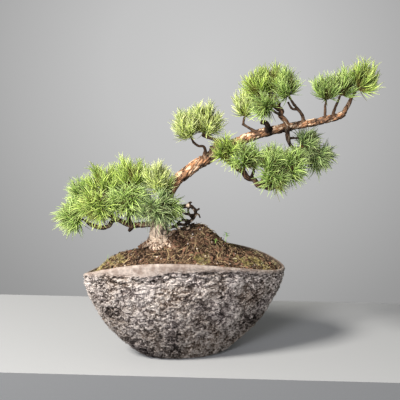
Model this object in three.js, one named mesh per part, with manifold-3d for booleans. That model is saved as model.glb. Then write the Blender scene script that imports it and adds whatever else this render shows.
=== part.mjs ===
// A dwarf mountain pine trained as a leaning bonsai, planted in a rough oval stoneware pot.
// Millimetres, +Z up. The origin is the middle of the pot's flat foot, +X points to the leaning tip
// and -Y to the viewer.
import * as THREE from "three";
import { ConvexHull } from "three/addons/math/ConvexHull.js";
import { mergeVertices } from "three/addons/utils/BufferGeometryUtils.js";
import Module from "manifold-3d";

const wasm = await Module();
wasm.setup();

// ---- driving dimensions ------------------------------------------------------------------------

const GAP = 0.35; // running gap between two pieces that touch
const FINE = 0.03; // corners that stand out by less than this are left out

const POT = {
  halfLength: 164, // at the rim, pointed end to pointed end
  halfDepth: 82, // at the rim, front to back
  wall: 11,
  floor: 12, // thickness of the bottom
  yaw: THREE.MathUtils.degToRad(10), // the right end is turned away from the viewer
  shift: 4, // the rim lies this much further right than the foot
  endHeight: 141, // rim height at the two pointed ends
  sideRise: 24, // the long sides rise by this much in their middle
  twistRise: 8, // front left and back right rise more than the other two quarters
  backRise: -0.5, // the far side rises more by this, the near side less
  lipHeight: 11.5, // smooth band below the rim
  lipSlant: 4, // the band is this much higher at the front left, and lower at the back right
  lipBearing: THREE.MathUtils.degToRad(215), // where it is highest
  lipStep: 1.6, // the rough skin lies this much behind the band
  roughness: 3, // depth of the torn skin
  segments: 44,
};

const DRAIN = { offset: 26, radius: 6, sides: 16, screen: 24, thick: 1.2, bar: 2.4, cells: 3 };

const SOIL = {
  belowRim: 3.5, // surface below the rim, along the wall
  centre: 157, // height of the surface without its mounds
  clod: 1.6, // size of the lumps on the surface
  mounds: [
    { x: 30, y: 6, spreadX: 26, spreadY: 27, rise: 44 },
    { x: -31, y: 3, spreadX: 34, spreadY: 27, rise: 23 },
    { x: -8, y: 2, spreadX: 20, spreadY: 20, rise: 14 },
    { x: 81, y: 20, spreadX: 40, spreadY: 34, rise: 15 },
    { x: -110, y: 6, spreadX: 34, spreadY: 28, rise: 24 },
  ],
  mossRise: 2.4, // thickness of the cushions of moss
  moss: [
    { x: -130, y: -12, radius: 24 },
    { x: -106, y: -22, radius: 17 },
    { x: 30, y: -44, radius: 17 },
    { x: 126, y: 8, radius: 20 },
    { x: 96, y: -14, radius: 14 },
    { x: -62, y: 48, radius: 20 },
    { x: 62, y: 50, radius: 20 },
  ],
};

const NEEDLE = {
  length: 19,
  spread: 0.16, // share by which lengths differ
  rootRadius: 1.7,
  clearance: 0.35, // kept to the wood and to the needles and shoots of other sprays
  lowTilt: THREE.MathUtils.degToRad(66), // away from the shoot, at the foot of its needles
  highTilt: THREE.MathUtils.degToRad(28),
  tipTilt: THREE.MathUtils.degToRad(13),
};

const SHOOT = {
  sides: 3,
  bands: 3, // rows of facets that needles grow from
  needled: 9, // length of the outer part that carries them
  radius: 1.2,
  twist: 0.11,
  depth: 0.95, // from the middle of a spray down to its knot, as a share of the shoots' reach
  sag: 0.14,
  below: 0.25, // how far round its underside a spray has shoots
};
const GOLDEN_ANGLE = Math.PI * (3 - Math.sqrt(5));

// Centre lines of the wood, as [x, y, z, radius]. Each one starts inside the wood that it grows from.
const TRUNK = [
  [-38, 1, 140, 16.5],
  [-38, 0, 160, 16.3],
  [-38, -1, 174, 16.4],
  [-38, -1, 190, 15],
  [-37, -2, 207, 12.4],
  [-32, -4, 228, 9.6],
  [-26, -6, 251, 8.4],
  [-20, -5, 270, 8.2],
  [-11, -2, 285, 8.4],
  [4, 3, 298, 9],
  [21, 6, 310, 9.2],
  [37, 4, 320, 8.7],
  [53, 0, 332, 8.6],
  [72, -3, 342, 7.9],
  [91, -2, 351, 7.5],
  [109, 1, 358, 7.5],
  [131, 5, 364, 7.2],
  [155, 7, 369, 6.9],
  [178, 5, 374, 6.4],
  [201, 1, 379, 5.9],
  [224, -3, 385, 5.6],
  [243, -4, 390, 5.4],
  [253, -3, 395, 4.4],
];

const TRUNK_SIDES = 8;
const TRUNK_STEPS = 31;

const ROOTS = {
  frontRight: [[-33, -3, 194, 7], [-20, -14, 187, 5.5], [-5, -24, 178, 3.5]],
  left: [[-41, -1, 194, 7], [-55, -6, 186, 5], [-69, -10, 179, 3]],
  right: [[-33, 3, 198, 7], [-17, 6, 198, 6], [3, 8, 199, 4]],
  back: [[-39, 4, 193, 7], [-45, 20, 183, 5], [-50, 36, 171, 3]],
};

const LIMBS = {
  leftMain: [
    [-34, -3, 222, 5.2], [-52, 2, 216, 4.6], [-68, 3, 214, 4.3], [-82, 2, 214, 4], [-96, 0, 220, 3.5],
    [-110, -3, 228, 3.1], [-122, -4, 236, 2.7],
  ],
  leftHook: [[-77, 2, 214, 3.2], [-82, 1, 208, 2.7], [-86, 0, 204, 1.5]],
  leftLoop: [
    [-104, -2, 225, 2.8], [-114, -5, 222, 2.5], [-116, -8, 217, 2.4], [-124, -10, 213, 2.4],
    [-135, -11, 214, 2.3], [-146, -12, 219, 2.1], [-153, -13, 226, 1.8],
  ],
  deadLoop: [
    [-24, -6, 243, 2.6], [-4, -12, 241, 2.7], [12, -15, 248, 2.7], [23, -14, 245, 2.2],
    [28, -13, 238, 2], [24, -12, 229, 1.8], [15, -11, 222, 1.8], [7, -11, 218, 1.7],
    [-1, -12, 220, 1.9], [-10, -10, 216, 2], [-29, -6, 209, 2.4],
  ],
  deadEnd: [[9, -15, 246, 1.5], [14, -15, 249, 1.2], [19, -15, 252, 0.9]],
  deadSpur: [[26, -14, 241, 1.4], [31, -15, 239, 1], [34, -16, 235, 0.7]],
  deadFork: [[7, -11, 218, 1.1], [3, -12, 212, 1], [-5, -12, 210, 0.9]],
  upperStub: [[50, 0, 328, 7.2], [54, 0, 342, 6], [58, 0, 353, 4.6]],
  upperTop: [[57, 0, 350, 3.2], [48, 1, 354, 2.6], [39, 3, 356, 2.4], [31, 6, 359, 2]],
  upperLow: [
    [34, 2, 324, 3.2], [36, 0, 337, 2.1], [33, -1, 342, 1.9], [25, -2, 343, 1.8], [17, -3, 349, 1.7],
  ],
  upperKnot: [[43, 1, 326, 3.4], [45, 0, 338, 2.6], [45, -1, 343, 1.6]],
  hangingMain: [
    [58, -4, 332, 4.9], [72, -12, 322, 4.4], [87, -20, 311, 4.1], [99, -26, 301, 3.9],
    [112, -29, 294, 3.7], [124, -30, 286, 3.4], [137, -30, 282, 3], [147, -28, 282, 2.4],
  ],
  hangingSpur: [[107, -29, 296, 2.6], [110, -33, 306, 2], [113, -34, 318, 1.4]],
  crownStem: [[163, 4, 374, 5.4], [158, 4, 388, 4.5], [154, 4, 398, 4], [152, 3, 410, 3.2]],
  crownLoop: [
    [180, 4, 374, 3.4], [189, 3, 382, 2.8], [187, 3, 392, 2.5], [181, 2, 400, 2.3], [175, 1, 408, 2],
  ],
  crownRung: [[181, 2, 400, 1.9], [172, 3, 401, 1.7], [165, 3, 412, 1.5]],
  crownSide: [[118, 2, 363, 2.6], [104, 4, 371, 1.9], [94, 6, 377, 1.6]],
  crownStump: [[135, 2, 366, 3.4], [131, -2, 374, 3], [126, -4, 377, 2.4]],
  underMain: [
    [164, 1, 371, 4.4], [165, -3, 360, 3.6], [167, -1, 349, 2.9], [174, 5, 339, 2.5], [183, 11, 337, 2.1],
  ],
  underRung: [[166, -2, 355, 1.9], [175, 6, 354, 1.5], [183, 12, 353, 1.3]],
  tipMain: [[252, -3, 396, 4.2], [258, -1, 406, 3.2], [262, 0, 414, 2.8], [265, 2, 423, 2.3]],
  tipLeft: [[223, -2, 386, 2.2], [223, -1, 400, 1.7], [223, 0, 408, 1.5]],
  tipMiddle: [[234, -3, 389, 2.6], [238, -2, 402, 2.1], [241, -1, 410, 1.8]],
};

// Every spray of needles: a point inside the wood that its twig grows from, with the twig's radius there,
// the middle and the half sizes of its outline with the needles, and its number of shoots.
const SPRAYS = {
  left_low: { from: [-152, -13, 225, 1.9], middle: [-169, -14, 231], half: [29, 29, 27], shoots: 7 },
  left_upper: { from: [-120, -4, 234, 2.4], middle: [-155, 8, 262], half: [27, 27, 27], shoots: 5 },
  left_front: { from: [-115, -4, 231, 2.2], middle: [-130, -36, 246], half: [33, 29, 30], shoots: 6 },
  left_top: { from: [-110, -3, 228, 2.4], middle: [-122, 2, 279], half: [33, 31, 32], shoots: 6 },
  left_crest: { from: [-87, 1, 216, 2.8], middle: [-80, 0, 288], half: [36, 33, 33], shoots: 7 },
  left_inner: { from: [-87, 1, 216, 2.4], middle: [-86, -34, 252], half: [36, 30, 33], shoots: 7 },
  left_back: { from: [-115, -3, 231, 2.2], middle: [-151, 42, 243], half: [33, 28, 29], shoots: 5 },
  left_rear: { from: [-82, 2, 214, 2.8], middle: [-93, 44, 254], half: [35, 29, 32], shoots: 5 },
  middle_high: { from: [-25, -6, 252, 3], middle: [-36, -18, 286], half: [27, 27, 29], shoots: 5 },
  middle_low: { from: [-34, -4, 227, 3], middle: [-42, -38, 251], half: [31, 29, 33], shoots: 6 },
  middle_right: { from: [-31, -6, 236, 2.2], middle: [-10, -24, 243], half: [24, 22, 26], shoots: 4 },
  upper_left: { from: [19, -3, 347, 1.8], middle: [8, -6, 371], half: [27, 27, 29], shoots: 5 },
  upper_right: { from: [33, 5, 358, 2], middle: [37, 0, 380], half: [32, 29, 34], shoots: 6 },
  upper_back: { from: [41, 3, 356, 2], middle: [21, 28, 373], half: [29, 24, 27], shoots: 3 },
  hanging_inner: { from: [73, -13, 321, 2.4], middle: [70, -26, 337], half: [27, 24, 29], shoots: 4 },
  hanging_middle: { from: [95, -24, 304, 2.6], middle: [100, -36, 327], half: [28, 26, 31], shoots: 4 },
  hanging_crest: { from: [121, -30, 288, 2.4], middle: [135, -36, 320], half: [27, 27, 29], shoots: 5 },
  hanging_end: { from: [145, -28, 282, 2.2], middle: [169, -26, 313], half: [27, 28, 31], shoots: 5 },
  hanging_low: { from: [135, -30, 283, 2.2], middle: [144, -44, 290], half: [25, 21, 23], shoots: 3 },
  hanging_back: { from: [125, -30, 286, 2.4], middle: [151, 4, 310], half: [29, 25, 27], shoots: 4 },
  crown_left: { from: [95, 6, 374, 1.7], middle: [96, 3, 401], half: [22, 24, 29], shoots: 4 },
  crown_side: { from: [155, 4, 396, 2.6], middle: [116, -5, 433], half: [25, 27, 28], shoots: 4 },
  crown_top: { from: [152, 3, 408, 2.4], middle: [137, 5, 442], half: [26, 28, 30], shoots: 5 },
  crown_right: { from: [175, 1, 407, 2], middle: [161, -4, 436], half: [23, 26, 30], shoots: 5 },
  crown_low: { from: [155, 3, 392, 2.4], middle: [131, -25, 401], half: [27, 24, 25], shoots: 4 },
  crown_back: { from: [154, 5, 400, 2.8], middle: [131, 38, 419], half: [31, 26, 29], shoots: 4 },
  under_near: { from: [181, 10, 337, 2], middle: [195, 16, 342], half: [24, 24, 24], shoots: 4 },
  under_far: { from: [182, 11, 337, 2.2], middle: [218, 22, 322], half: [25, 26, 24], shoots: 5 },
  tip_left: { from: [223, 0, 404, 1.6], middle: [222, -8, 429], half: [24, 26, 27], shoots: 5 },
  tip_middle: { from: [240, -1, 407, 1.8], middle: [253, 9, 439], half: [26, 26, 29], shoots: 4 },
  tip_end: { from: [264, 2, 420, 2.4], middle: [279, 2, 449], half: [26, 26, 29], shoots: 5 },
};

// ---- small helpers -----------------------------------------------------------------------------

const vector = ([x, y, z]) => new THREE.Vector3(x, y, z);
const lerp = THREE.MathUtils.lerp;

// A number from 0 to 1 that depends only on two indices, so that every build draws the same.
function draw(i, j) {
  const wave = Math.sin(i * 12.9898 + j * 78.233) * 43758.5453;
  return wave - Math.floor(wave);
}

function closedMesh(geometry) {
  geometry.deleteAttribute("normal");
  geometry.deleteAttribute("uv");
  return mergeVertices(geometry, 1e-4);
}

function solidOf(geometry) {
  const merged = closedMesh(geometry);
  return new wasm.Manifold(
    new wasm.Mesh({
      numProp: 3,
      vertProperties: new Float32Array(merged.attributes.position.array),
      triVerts: new Uint32Array(merged.index.array),
    }),
  );
}

function geometryOf(solid) {
  const { vertProperties, triVerts } = solid.getMesh();
  const geometry = new THREE.BufferGeometry();
  geometry.setAttribute("position", new THREE.BufferAttribute(vertProperties, 3));
  geometry.setIndex(new THREE.BufferAttribute(triVerts, 1));
  geometry.computeVertexNormals();
  return geometry;
}

const united = (solids) => solids.reduce((whole, next) => whole.add(next));

// The largest body of a solid: scraps that a cut leaves loose are dropped.
function mainBody(solid) {
  return solid.decompose().reduce((best, next) => (next.volume() > best.volume() ? next : best));
}

// ---- wood --------------------------------------------------------------------------------------

// A limb's centre line and its radius at a share of its length.
function centreLine(points) {
  const curve = new THREE.CatmullRomCurve3(points.map(vector));
  const radiusAt = (share) => {
    const place = curve.getUtoTmapping(share) * (points.length - 1);
    const low = Math.min(Math.floor(place), points.length - 2);
    return lerp(points[low][3], points[low + 1][3], place - low);
  };
  return { curve, radiusAt };
}

// A round limb: a cylinder bent along its centre line. ridge makes the bark uneven, and grow widens the
// limb all round, which gives the hole that it stands in.
function limb(points, sides, steps, ridge = 0, grow = 0) {
  const { curve, radiusAt } = centreLine(points);
  const frames = curve.computeFrenetFrames(steps, false);
  const geometry = new THREE.CylinderGeometry(1, 1, 1, sides, steps);
  const position = geometry.attributes.position;
  for (let i = 0; i < position.count; i++) {
    const row = Math.round((position.getY(i) + 0.5) * steps);
    const across = Math.hypot(position.getX(i), position.getZ(i)) > 0.5 ? 1 : 0;
    const turn = Math.atan2(position.getZ(i), position.getX(i));
    const side = Math.round((turn / (2 * Math.PI)) * sides + sides) % sides;
    const bark = 1 + ridge * (draw(side, row) - 0.5);
    const radius = across * (radiusAt(row / steps) * bark + grow);
    const end = row === 0 ? -grow : row === steps ? grow : 0;
    const place = curve
      .getPointAt(row / steps)
      .addScaledVector(frames.tangents[row], end)
      .addScaledVector(frames.normals[row], radius * Math.cos(turn))
      .addScaledVector(frames.binormals[row], -radius * Math.sin(turn));
    position.setXYZ(i, place.x, place.y, place.z);
  }
  return solidOf(geometry);
}

const limbSteps = (points, spacing) => {
  const { curve } = centreLine(points);
  return Math.max(2, Math.round(curve.getLength() / spacing));
};

function buildWood() {
  const pieces = [limb(TRUNK, TRUNK_SIDES, TRUNK_STEPS, 0.22)];
  for (const root of Object.values(ROOTS)) pieces.push(limb(root, 6, 5, 0.2));
  for (const points of Object.values(LIMBS)) {
    pieces.push(limb(points, points[0][3] > 4 ? 6 : 4, limbSteps(points, 13), 0.14));
  }
  for (const spray of Object.values(SPRAYS)) pieces.push(limb(twigOf(spray), 4, 2));
  return united(pieces).asOriginal().simplify(FINE);
}

// The space that the foot of the tree takes in the soil.
function buildRootHole() {
  const pieces = [limb(TRUNK, TRUNK_SIDES, TRUNK_STEPS, 0.22, GAP)];
  for (const root of Object.values(ROOTS)) pieces.push(limb(root, 6, 5, 0.2, GAP));
  return united(pieces);
}

// ---- needles -----------------------------------------------------------------------------------

// Tapered rods that are already placed. A needle keeps clear of those of the wood and of other sprays.
const placed = [];

function place(start, end, startRadius, endRadius, owner) {
  placed.push({ start, end, startRadius, endRadius, owner });
}

// Records the wood as rods.
function placeWood() {
  const all = [TRUNK, ...Object.values(LIMBS), ...Object.values(SPRAYS).map(twigOf)];
  for (const points of all) {
    const { curve, radiusAt } = centreLine(points);
    const steps = limbSteps(points, 6);
    for (let i = 0; i < steps; i++) {
      place(curve.getPointAt(i / steps), curve.getPointAt((i + 1) / steps), radiusAt(i / steps) * 1.1,
        radiusAt((i + 1) / steps) * 1.1, "wood");
    }
  }
}

const ray = new THREE.Vector3();
const other = new THREE.Vector3();
const between = new THREE.Vector3();

// The free width between two tapered rods.
function freeWidth(a, b) {
  ray.subVectors(a.end, a.start);
  other.subVectors(b.end, b.start);
  between.subVectors(a.start, b.start);
  const aa = ray.dot(ray);
  const bb = other.dot(other);
  const ab = ray.dot(other);
  const ac = ray.dot(between);
  const bc = other.dot(between);
  const cross = aa * bb - ab * ab;
  let s = cross > 1e-9 ? THREE.MathUtils.clamp((ab * bc - ac * bb) / cross, 0, 1) : 0;
  const t = THREE.MathUtils.clamp((ab * s + bc) / bb, 0, 1);
  s = THREE.MathUtils.clamp((ab * t - ac) / aa, 0, 1);
  const distance = between.addScaledVector(ray, s).addScaledVector(other, -t).length();
  return distance - lerp(a.startRadius, a.endRadius, s) - lerp(b.startRadius, b.endRadius, t);
}

const isFree = (rod) =>
  placed.every((taken) => taken.owner === rod.owner || freeWidth(rod, taken) > NEEDLE.clearance);

// Whether a line between two points passes through a triangle. One that starts or ends at a corner of
// the triangle doesn't.
function pierces(from, to, triangle) {
  if (triangle.includes(from) || triangle.includes(to)) return false;
  const length = from.distanceTo(to);
  const line = new THREE.Ray(from, to.clone().sub(from).divideScalar(length));
  const hit = line.intersectTriangle(...triangle, false, new THREE.Vector3());
  return hit !== null && hit.distanceTo(from) < length;
}

const edgesOf = ([a, b, c]) => [[a, b], [b, c], [c, a]];

// The surface of one spray. A facet that a needle may grow from has a bearing.
class Surface {
  facets = [];

  add(corners, bearing = null) {
    this.facets.push({ corners, bearing, box: new THREE.Box3().setFromPoints(corners) });
  }

  // Draws a facet out to a point, unless it would then cross another facet.
  drawOut(facet, point) {
    const made = edgesOf(facet.corners).map((edge) => [...edge, point]);
    const reach = facet.box.clone().expandByPoint(point);
    const crossing = this.facets.some(({ corners, box }) =>
      corners !== facet.corners && box.intersectsBox(reach) &&
      (facet.corners.some((corner) => pierces(corner, point, corners)) ||
        edgesOf(corners).some(([from, to]) => made.some((triangle) => pierces(from, to, triangle)))));
    if (crossing) return false;
    this.facets.splice(this.facets.indexOf(facet), 1);
    for (const corners of made) this.add(corners);
    return true;
  }

  geometry() {
    const corners = [...new Set(this.facets.flatMap((facet) => facet.corners))];
    const numbers = new Map(corners.map((corner, number) => [corner, number]));
    const geometry = new THREE.BufferGeometry().setFromPoints(corners);
    geometry.setIndex(this.facets.flatMap((facet) => facet.corners.map((corner) => numbers.get(corner))));
    return geometry;
  }
}

// The lengths from a spray's middle to where its shoots end, and from there down to its knot.
function sprayInside({ half }) {
  const inner = new THREE.Vector3(...half.map((size) => Math.max(size - 0.64 * NEEDLE.length, 8)));
  const depth = Math.max((SHOOT.depth * (inner.x + inner.y + inner.z)) / 3, 9);
  return { inner, depth };
}

// The twig of a spray rises from the wood towards the middle of the spray and ends in its lower part.
function twigOf(spray) {
  const foot = vector(spray.from);
  const centre = vector(spray.middle);
  const distance = foot.distanceTo(centre);
  const end = foot.clone().lerp(centre, Math.max(distance - sprayInside(spray).depth, 7) / distance);
  const bow = foot.clone().lerp(end, 0.5);
  bow.z -= 0.06 * foot.distanceTo(end);
  return [spray.from, [...bow.toArray(), lerp(spray.from[3], 1.4, 0.6)], [...end.toArray(), 1.4]];
}

// The shoots of a spray fan out from a knot at the end of its twig. Their tips lie on its outline, less
// what the needles add, and are spread by the golden angle round the line from knot to outline.
function sprayLayout(name) {
  const spray = SPRAYS[name];
  const { curve: twig } = centreLine(twigOf(spray));
  const along = twig.getTangentAt(1);
  const foot = twig.getPointAt(1).addScaledVector(along, GAP);
  const knot = foot.clone().addScaledVector(along, 1.5);
  const centre = vector(spray.middle);
  const axis = centre.clone().sub(knot).normalize();
  const turn = new THREE.Quaternion().setFromUnitVectors(new THREE.Vector3(0, 0, 1), axis);
  const { inner } = sprayInside(spray);
  const tips = Array.from({ length: spray.shoots }, (_, i) => {
    const height = 1 - ((1 + SHOOT.below) * (i + 0.3)) / (spray.shoots - 0.4);
    const flat = Math.sqrt(1 - height * height);
    const angle = GOLDEN_ANGLE * i + name.length;
    const outward = new THREE.Vector3(flat * Math.cos(angle), flat * Math.sin(angle), height);
    return centre.clone().add(outward.applyQuaternion(turn).multiply(inner));
  });
  const headings = tips.map((tip) => tip.clone().sub(knot).normalize());
  const angles = headings.flatMap((one, i) => headings.slice(i + 1).map((two) => one.angleTo(two)));
  const size = (1.15 * SHOOT.radius) / Math.tan(Math.min(...angles, 0.6) / 2); // first rings stay apart
  const shoots = tips.map((tip, i) => {
    const start = knot.clone().addScaledVector(headings[i], size);
    const bow = start.clone().lerp(tip, 0.5);
    bow.z -= SHOOT.sag * start.distanceTo(tip);
    return { curve: new THREE.QuadraticBezierCurve3(start, bow, tip), heading: headings[i] };
  });
  return { name, foot, knot, size, shoots };
}

function placeStems({ name, foot, knot, size, shoots }) {
  place(foot, knot, SHOOT.radius, 0.7 * size, name);
  for (const { curve } of shoots) {
    place(knot, curve.getPointAt(0), SHOOT.radius, SHOOT.radius, name);
    for (const share of [0, 1 / 3, 2 / 3]) {
      place(curve.getPointAt(share), curve.getPointAt(share + 1 / 3), SHOOT.radius, SHOOT.radius, name);
    }
  }
}

// Points and cross directions along a curve, without twist. The first ones stand square to the heading.
function framesAt(curve, shares, heading) {
  let normal = new THREE.Vector3(1, 0, 0);
  return shares.map((share, row) => {
    const tangent = row === 0 ? heading : curve.getTangentAt(share);
    normal = normal.clone().addScaledVector(tangent, -normal.dot(tangent)).normalize();
    return { point: curve.getPointAt(share), tangent, normal, binormal: tangent.clone().cross(normal) };
  });
}

// Adds a bare shoot, a slim three-sided stem whose outer part is bands of slanting facets, to a surface.
// Its first ring of corners is returned and stays open.
function addShoot(surface, { curve, heading }, index) {
  const needledFrom = Math.max(1 - SHOOT.needled / curve.getLength(), 0.1);
  const shares = [0];
  for (let band = 0; band <= SHOOT.bands; band++) shares.push(lerp(needledFrom, 1, band / SHOOT.bands));
  const last = shares.length - 1;
  const axes = framesAt(curve, shares, heading);
  const rings = axes.map(({ point, normal, binormal }, row) => {
    const radius = SHOOT.radius * (row === last ? 0.8 : 1);
    return Array.from({ length: SHOOT.sides }, (_, side) => {
      const angle = ((side + row / 2) / SHOOT.sides + SHOOT.twist * row) * 2 * Math.PI + index;
      return point.clone()
        .addScaledVector(normal, radius * Math.cos(angle))
        .addScaledVector(binormal, radius * Math.sin(angle));
    });
  });
  const tip = curve.getPointAt(1).addScaledVector(axes[last].tangent, 2);
  rings.forEach((ring, row) => {
    for (let side = 0; side < SHOOT.sides; side++) {
      const next = (side + 1) % SHOOT.sides;
      const facets = row === last ? [[ring[side], ring[next], tip]] : [
        [ring[side], ring[next], rings[row + 1][side]],
        [ring[next], rings[row + 1][next], rings[row + 1][side]],
      ];
      facets.forEach((corners, half) => {
        const number = 2 * (row * SHOOT.sides + side) + half;
        const height = (row - 1 + half / 2) / (last - 0.5);
        surface.add(corners, row > 0 ? { ...axes[row], height, index, number } : null);
      });
    }
  });
  return rings[0];
}

// The bare shoots of a spray, joined by a knot: the hull of its foot and of their first rings.
function bareSpray({ foot, shoots }, firstIndex) {
  const surface = new Surface();
  const firstRings = shoots.map((shoot, i) => addShoot(surface, shoot, firstIndex + i));
  const hull = new ConvexHull().setFromPoints([foot, ...firstRings.flat()]);
  for (const { edge } of hull.faces) {
    const corners = [edge, edge.next, edge.prev].map((side) => side.head().point);
    const opensToShoot = firstRings.some((ring) => corners.every((corner) => ring.includes(corner)));
    if (!opensToShoot) surface.add(corners);
  }
  return surface;
}

// Ways to bend a needle clear of others: change of lean, change of direction, share of its length.
const NEEDLE_TRIES = [
  [0, 0, 1],
  [0, 0.3, 1],
  [0, -0.3, 1],
  [-0.15, 0.15, 0.9],
  [0.12, -0.15, 0.9],
  [0, 0, 0.75],
];

// Grows a needle from a facet. It leans away from the shoot, less so higher up. One that would touch
// something is bent aside or shortened, and if nothing helps it is left out.
function growNeedle(surface, facet, owner) {
  const { point, tangent, height, index, number } = facet.bearing;
  const [a, b, c] = facet.corners;
  const start = a.clone().add(b).add(c).divideScalar(3);
  const outward = start.clone().sub(point);
  outward.addScaledVector(tangent, -outward.dot(tangent)).normalize();
  const sideways = tangent.clone().cross(outward);
  const tilt = height > 1 ? NEEDLE.tipTilt : lerp(NEEDLE.lowTilt, NEEDLE.highTilt, height);
  const length = NEEDLE.length * (1 + NEEDLE.spread * (2 * draw(index, number) - 1));
  for (const [lean, swing, share] of NEEDLE_TRIES) {
    const away = tilt + lean + 0.14 * (draw(number, index) - 0.5);
    const aside = swing + 0.4 * (draw(number + 7, index) - 0.5);
    const direction = tangent.clone().multiplyScalar(Math.cos(away))
      .addScaledVector(outward, Math.sin(away) * Math.cos(aside))
      .addScaledVector(sideways, Math.sin(away) * Math.sin(aside));
    const end = start.clone().addScaledVector(direction, length * share);
    const rod = { start, end, startRadius: NEEDLE.rootRadius, endRadius: 0, owner };
    if (isFree(rod) && surface.drawOut(facet, end)) {
      placed.push(rod);
      return;
    }
  }
}

function buildSprays() {
  placeWood();
  const layouts = Object.keys(SPRAYS).map(sprayLayout);
  layouts.forEach(placeStems);
  let index = 0;
  return layouts.map((layout) => {
    const surface = bareSpray(layout, index);
    index += layout.shoots.length;
    const needled = surface.facets.filter(({ bearing }) => bearing);
    for (const facet of needled) growNeedle(surface, facet, layout.name);
    return [layout.name, surface.geometry()];
  });
}

// ---- pot and soil ------------------------------------------------------------------------------

// Rings of the pot from the middle of its foot, up its outer wall, over the rim and down inside to the
// middle of its floor. size is the share of the rim's half length and half depth, inset is taken off
// both, and rise is the share of the rim's height.
const OUTER_PROFILE = new THREE.SplineCurve(
  [[0.325, 0], [0.38, 0.012], [0.465, 0.07], [0.6, 0.2], [0.775, 0.41], [0.92, 0.69], [0.985, 0.9]]
    .map(([size, rise]) => new THREE.Vector2(size, rise)),
);
const INNER_RINGS = [
  { size: 0.5, rise: 0 },
  { size: 0.63, rise: 0.22 },
  { size: 0.8, rise: 0.42 },
  { size: 0.945, rise: 0.7 },
  { size: 1, rise: 1 },
];
const ROUGH_RINGS = 9;

function rimHeight(angle) {
  const side = Math.sin(angle);
  const twist = POT.twistRise * Math.sin(2 * angle);
  return POT.endHeight + POT.sideRise * side * side + twist + POT.backRise * side;
}

// A point at an angle round the pot's middle. The ends of the oval are drawn out to soft points.
function potPoint(angle, size, inset, height) {
  const along = (size * POT.halfLength - inset) * Math.cos(angle);
  const side = Math.sin(angle);
  const across = (size * POT.halfDepth - inset) * side * Math.abs(side) ** (0.22 * size * size);
  return new THREE.Vector3(along, across, height)
    .applyAxisAngle(new THREE.Vector3(0, 0, 1), POT.yaw)
    .add(new THREE.Vector3((POT.shift * height) / POT.endHeight, 0, 0));
}

// Turns a list of rings, each a function of the angle, into a closed body of revolution's mesh.
function ringBody(rings) {
  const profile = rings.map((ring, i) => new THREE.Vector2(i === 0 || i === rings.length - 1 ? 0 : 1, i));
  const geometry = new THREE.LatheGeometry(profile, POT.segments);
  const position = geometry.attributes.position;
  for (let i = 0; i < position.count; i++) {
    const ring = Math.round(position.getY(i));
    const segment = Math.floor(i / rings.length) % POT.segments;
    const angle = (segment / POT.segments) * 2 * Math.PI;
    const point = rings[ring](angle, segment);
    position.setXYZ(i, point.x, point.y, point.z);
  }
  return solidOf(geometry);
}

function potRings() {
  const rings = [(angle) => potPoint(angle, 0, 0, 0)];
  for (let i = 0; i <= ROUGH_RINGS; i++) {
    const { x: size, y: rise } = OUTER_PROFILE.getPoint(i / ROUGH_RINGS);
    const depth = i === 0 ? 0 : POT.roughness;
    rings.push((angle, segment) =>
      potPoint(angle, size, POT.lipStep - depth * (draw(segment, i) - 0.3), rise * rimHeight(angle)));
  }
  const lipFoot = (angle) =>
    rimHeight(angle) - POT.lipHeight - POT.lipSlant * Math.cos(angle - POT.lipBearing);
  rings.push((angle, segment) =>
    potPoint(angle, 0.997, -0.6 * draw(segment, 3), lipFoot(angle) + 2 * draw(segment, 5)));
  rings.push((angle) => potPoint(angle, 1, 0.4, rimHeight(angle) - 2));
  rings.push((angle) => potPoint(angle, 1, POT.wall / 2, rimHeight(angle) + 2));
  for (const { size, rise } of [...INNER_RINGS].reverse()) {
    rings.push((angle) => potPoint(angle, size, POT.wall, Math.max(rise * rimHeight(angle), POT.floor)));
  }
  rings.push((angle) => potPoint(angle, 0, 0, POT.floor));
  return rings;
}

// The middles of the two drain holes.
const drainPlaces = () => [Math.PI, 0].map((angle) => potPoint(angle, DRAIN.offset / POT.halfLength, 0, 0));

function buildPot() {
  let pot = ringBody(potRings());
  for (const place of drainPlaces()) {
    const hole = new THREE.CylinderGeometry(DRAIN.radius, DRAIN.radius, 3 * POT.floor, DRAIN.sides);
    hole.rotateX(Math.PI / 2).translate(place.x, place.y, POT.floor / 2);
    pot = pot.subtract(solidOf(hole));
  }
  return pot;
}

// A square of plastic mesh that lies over a drain hole: bars in two directions.
function screenSolid() {
  const pitch = (DRAIN.screen - DRAIN.bar) / DRAIN.cells;
  const bars = [];
  for (let i = 0; i <= DRAIN.cells; i++) {
    const middle = i * pitch - (DRAIN.cells * pitch) / 2;
    bars.push(solidOf(new THREE.BoxGeometry(DRAIN.screen, DRAIN.bar, DRAIN.thick).translate(0, middle, 0)));
    bars.push(solidOf(new THREE.BoxGeometry(DRAIN.bar, DRAIN.screen, DRAIN.thick).translate(middle, 0, 0)));
  }
  return united(bars).asOriginal().simplify(FINE);
}

function soilHeight(x, y, share, edge) {
  let height = lerp(SOIL.centre, edge, share * share);
  for (const mound of SOIL.mounds) {
    const far = ((x - mound.x) / mound.spreadX) ** 2 + ((y - mound.y) / mound.spreadY) ** 2;
    height += mound.rise * Math.exp(-far / 2) * (1 - share ** 8);
  }
  const cover = SOIL.moss.map((patch) =>
    THREE.MathUtils.smoothstep(1.2 - Math.hypot(x - patch.x, y - patch.y) / patch.radius, 0, 0.6));
  height += SOIL.mossRise * Math.max(...cover) * (1 - share ** 8);
  return height;
}

const SOIL_RINGS = [0.15, 0.3, 0.45, 0.6, 0.74, 0.87, 1];

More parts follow.
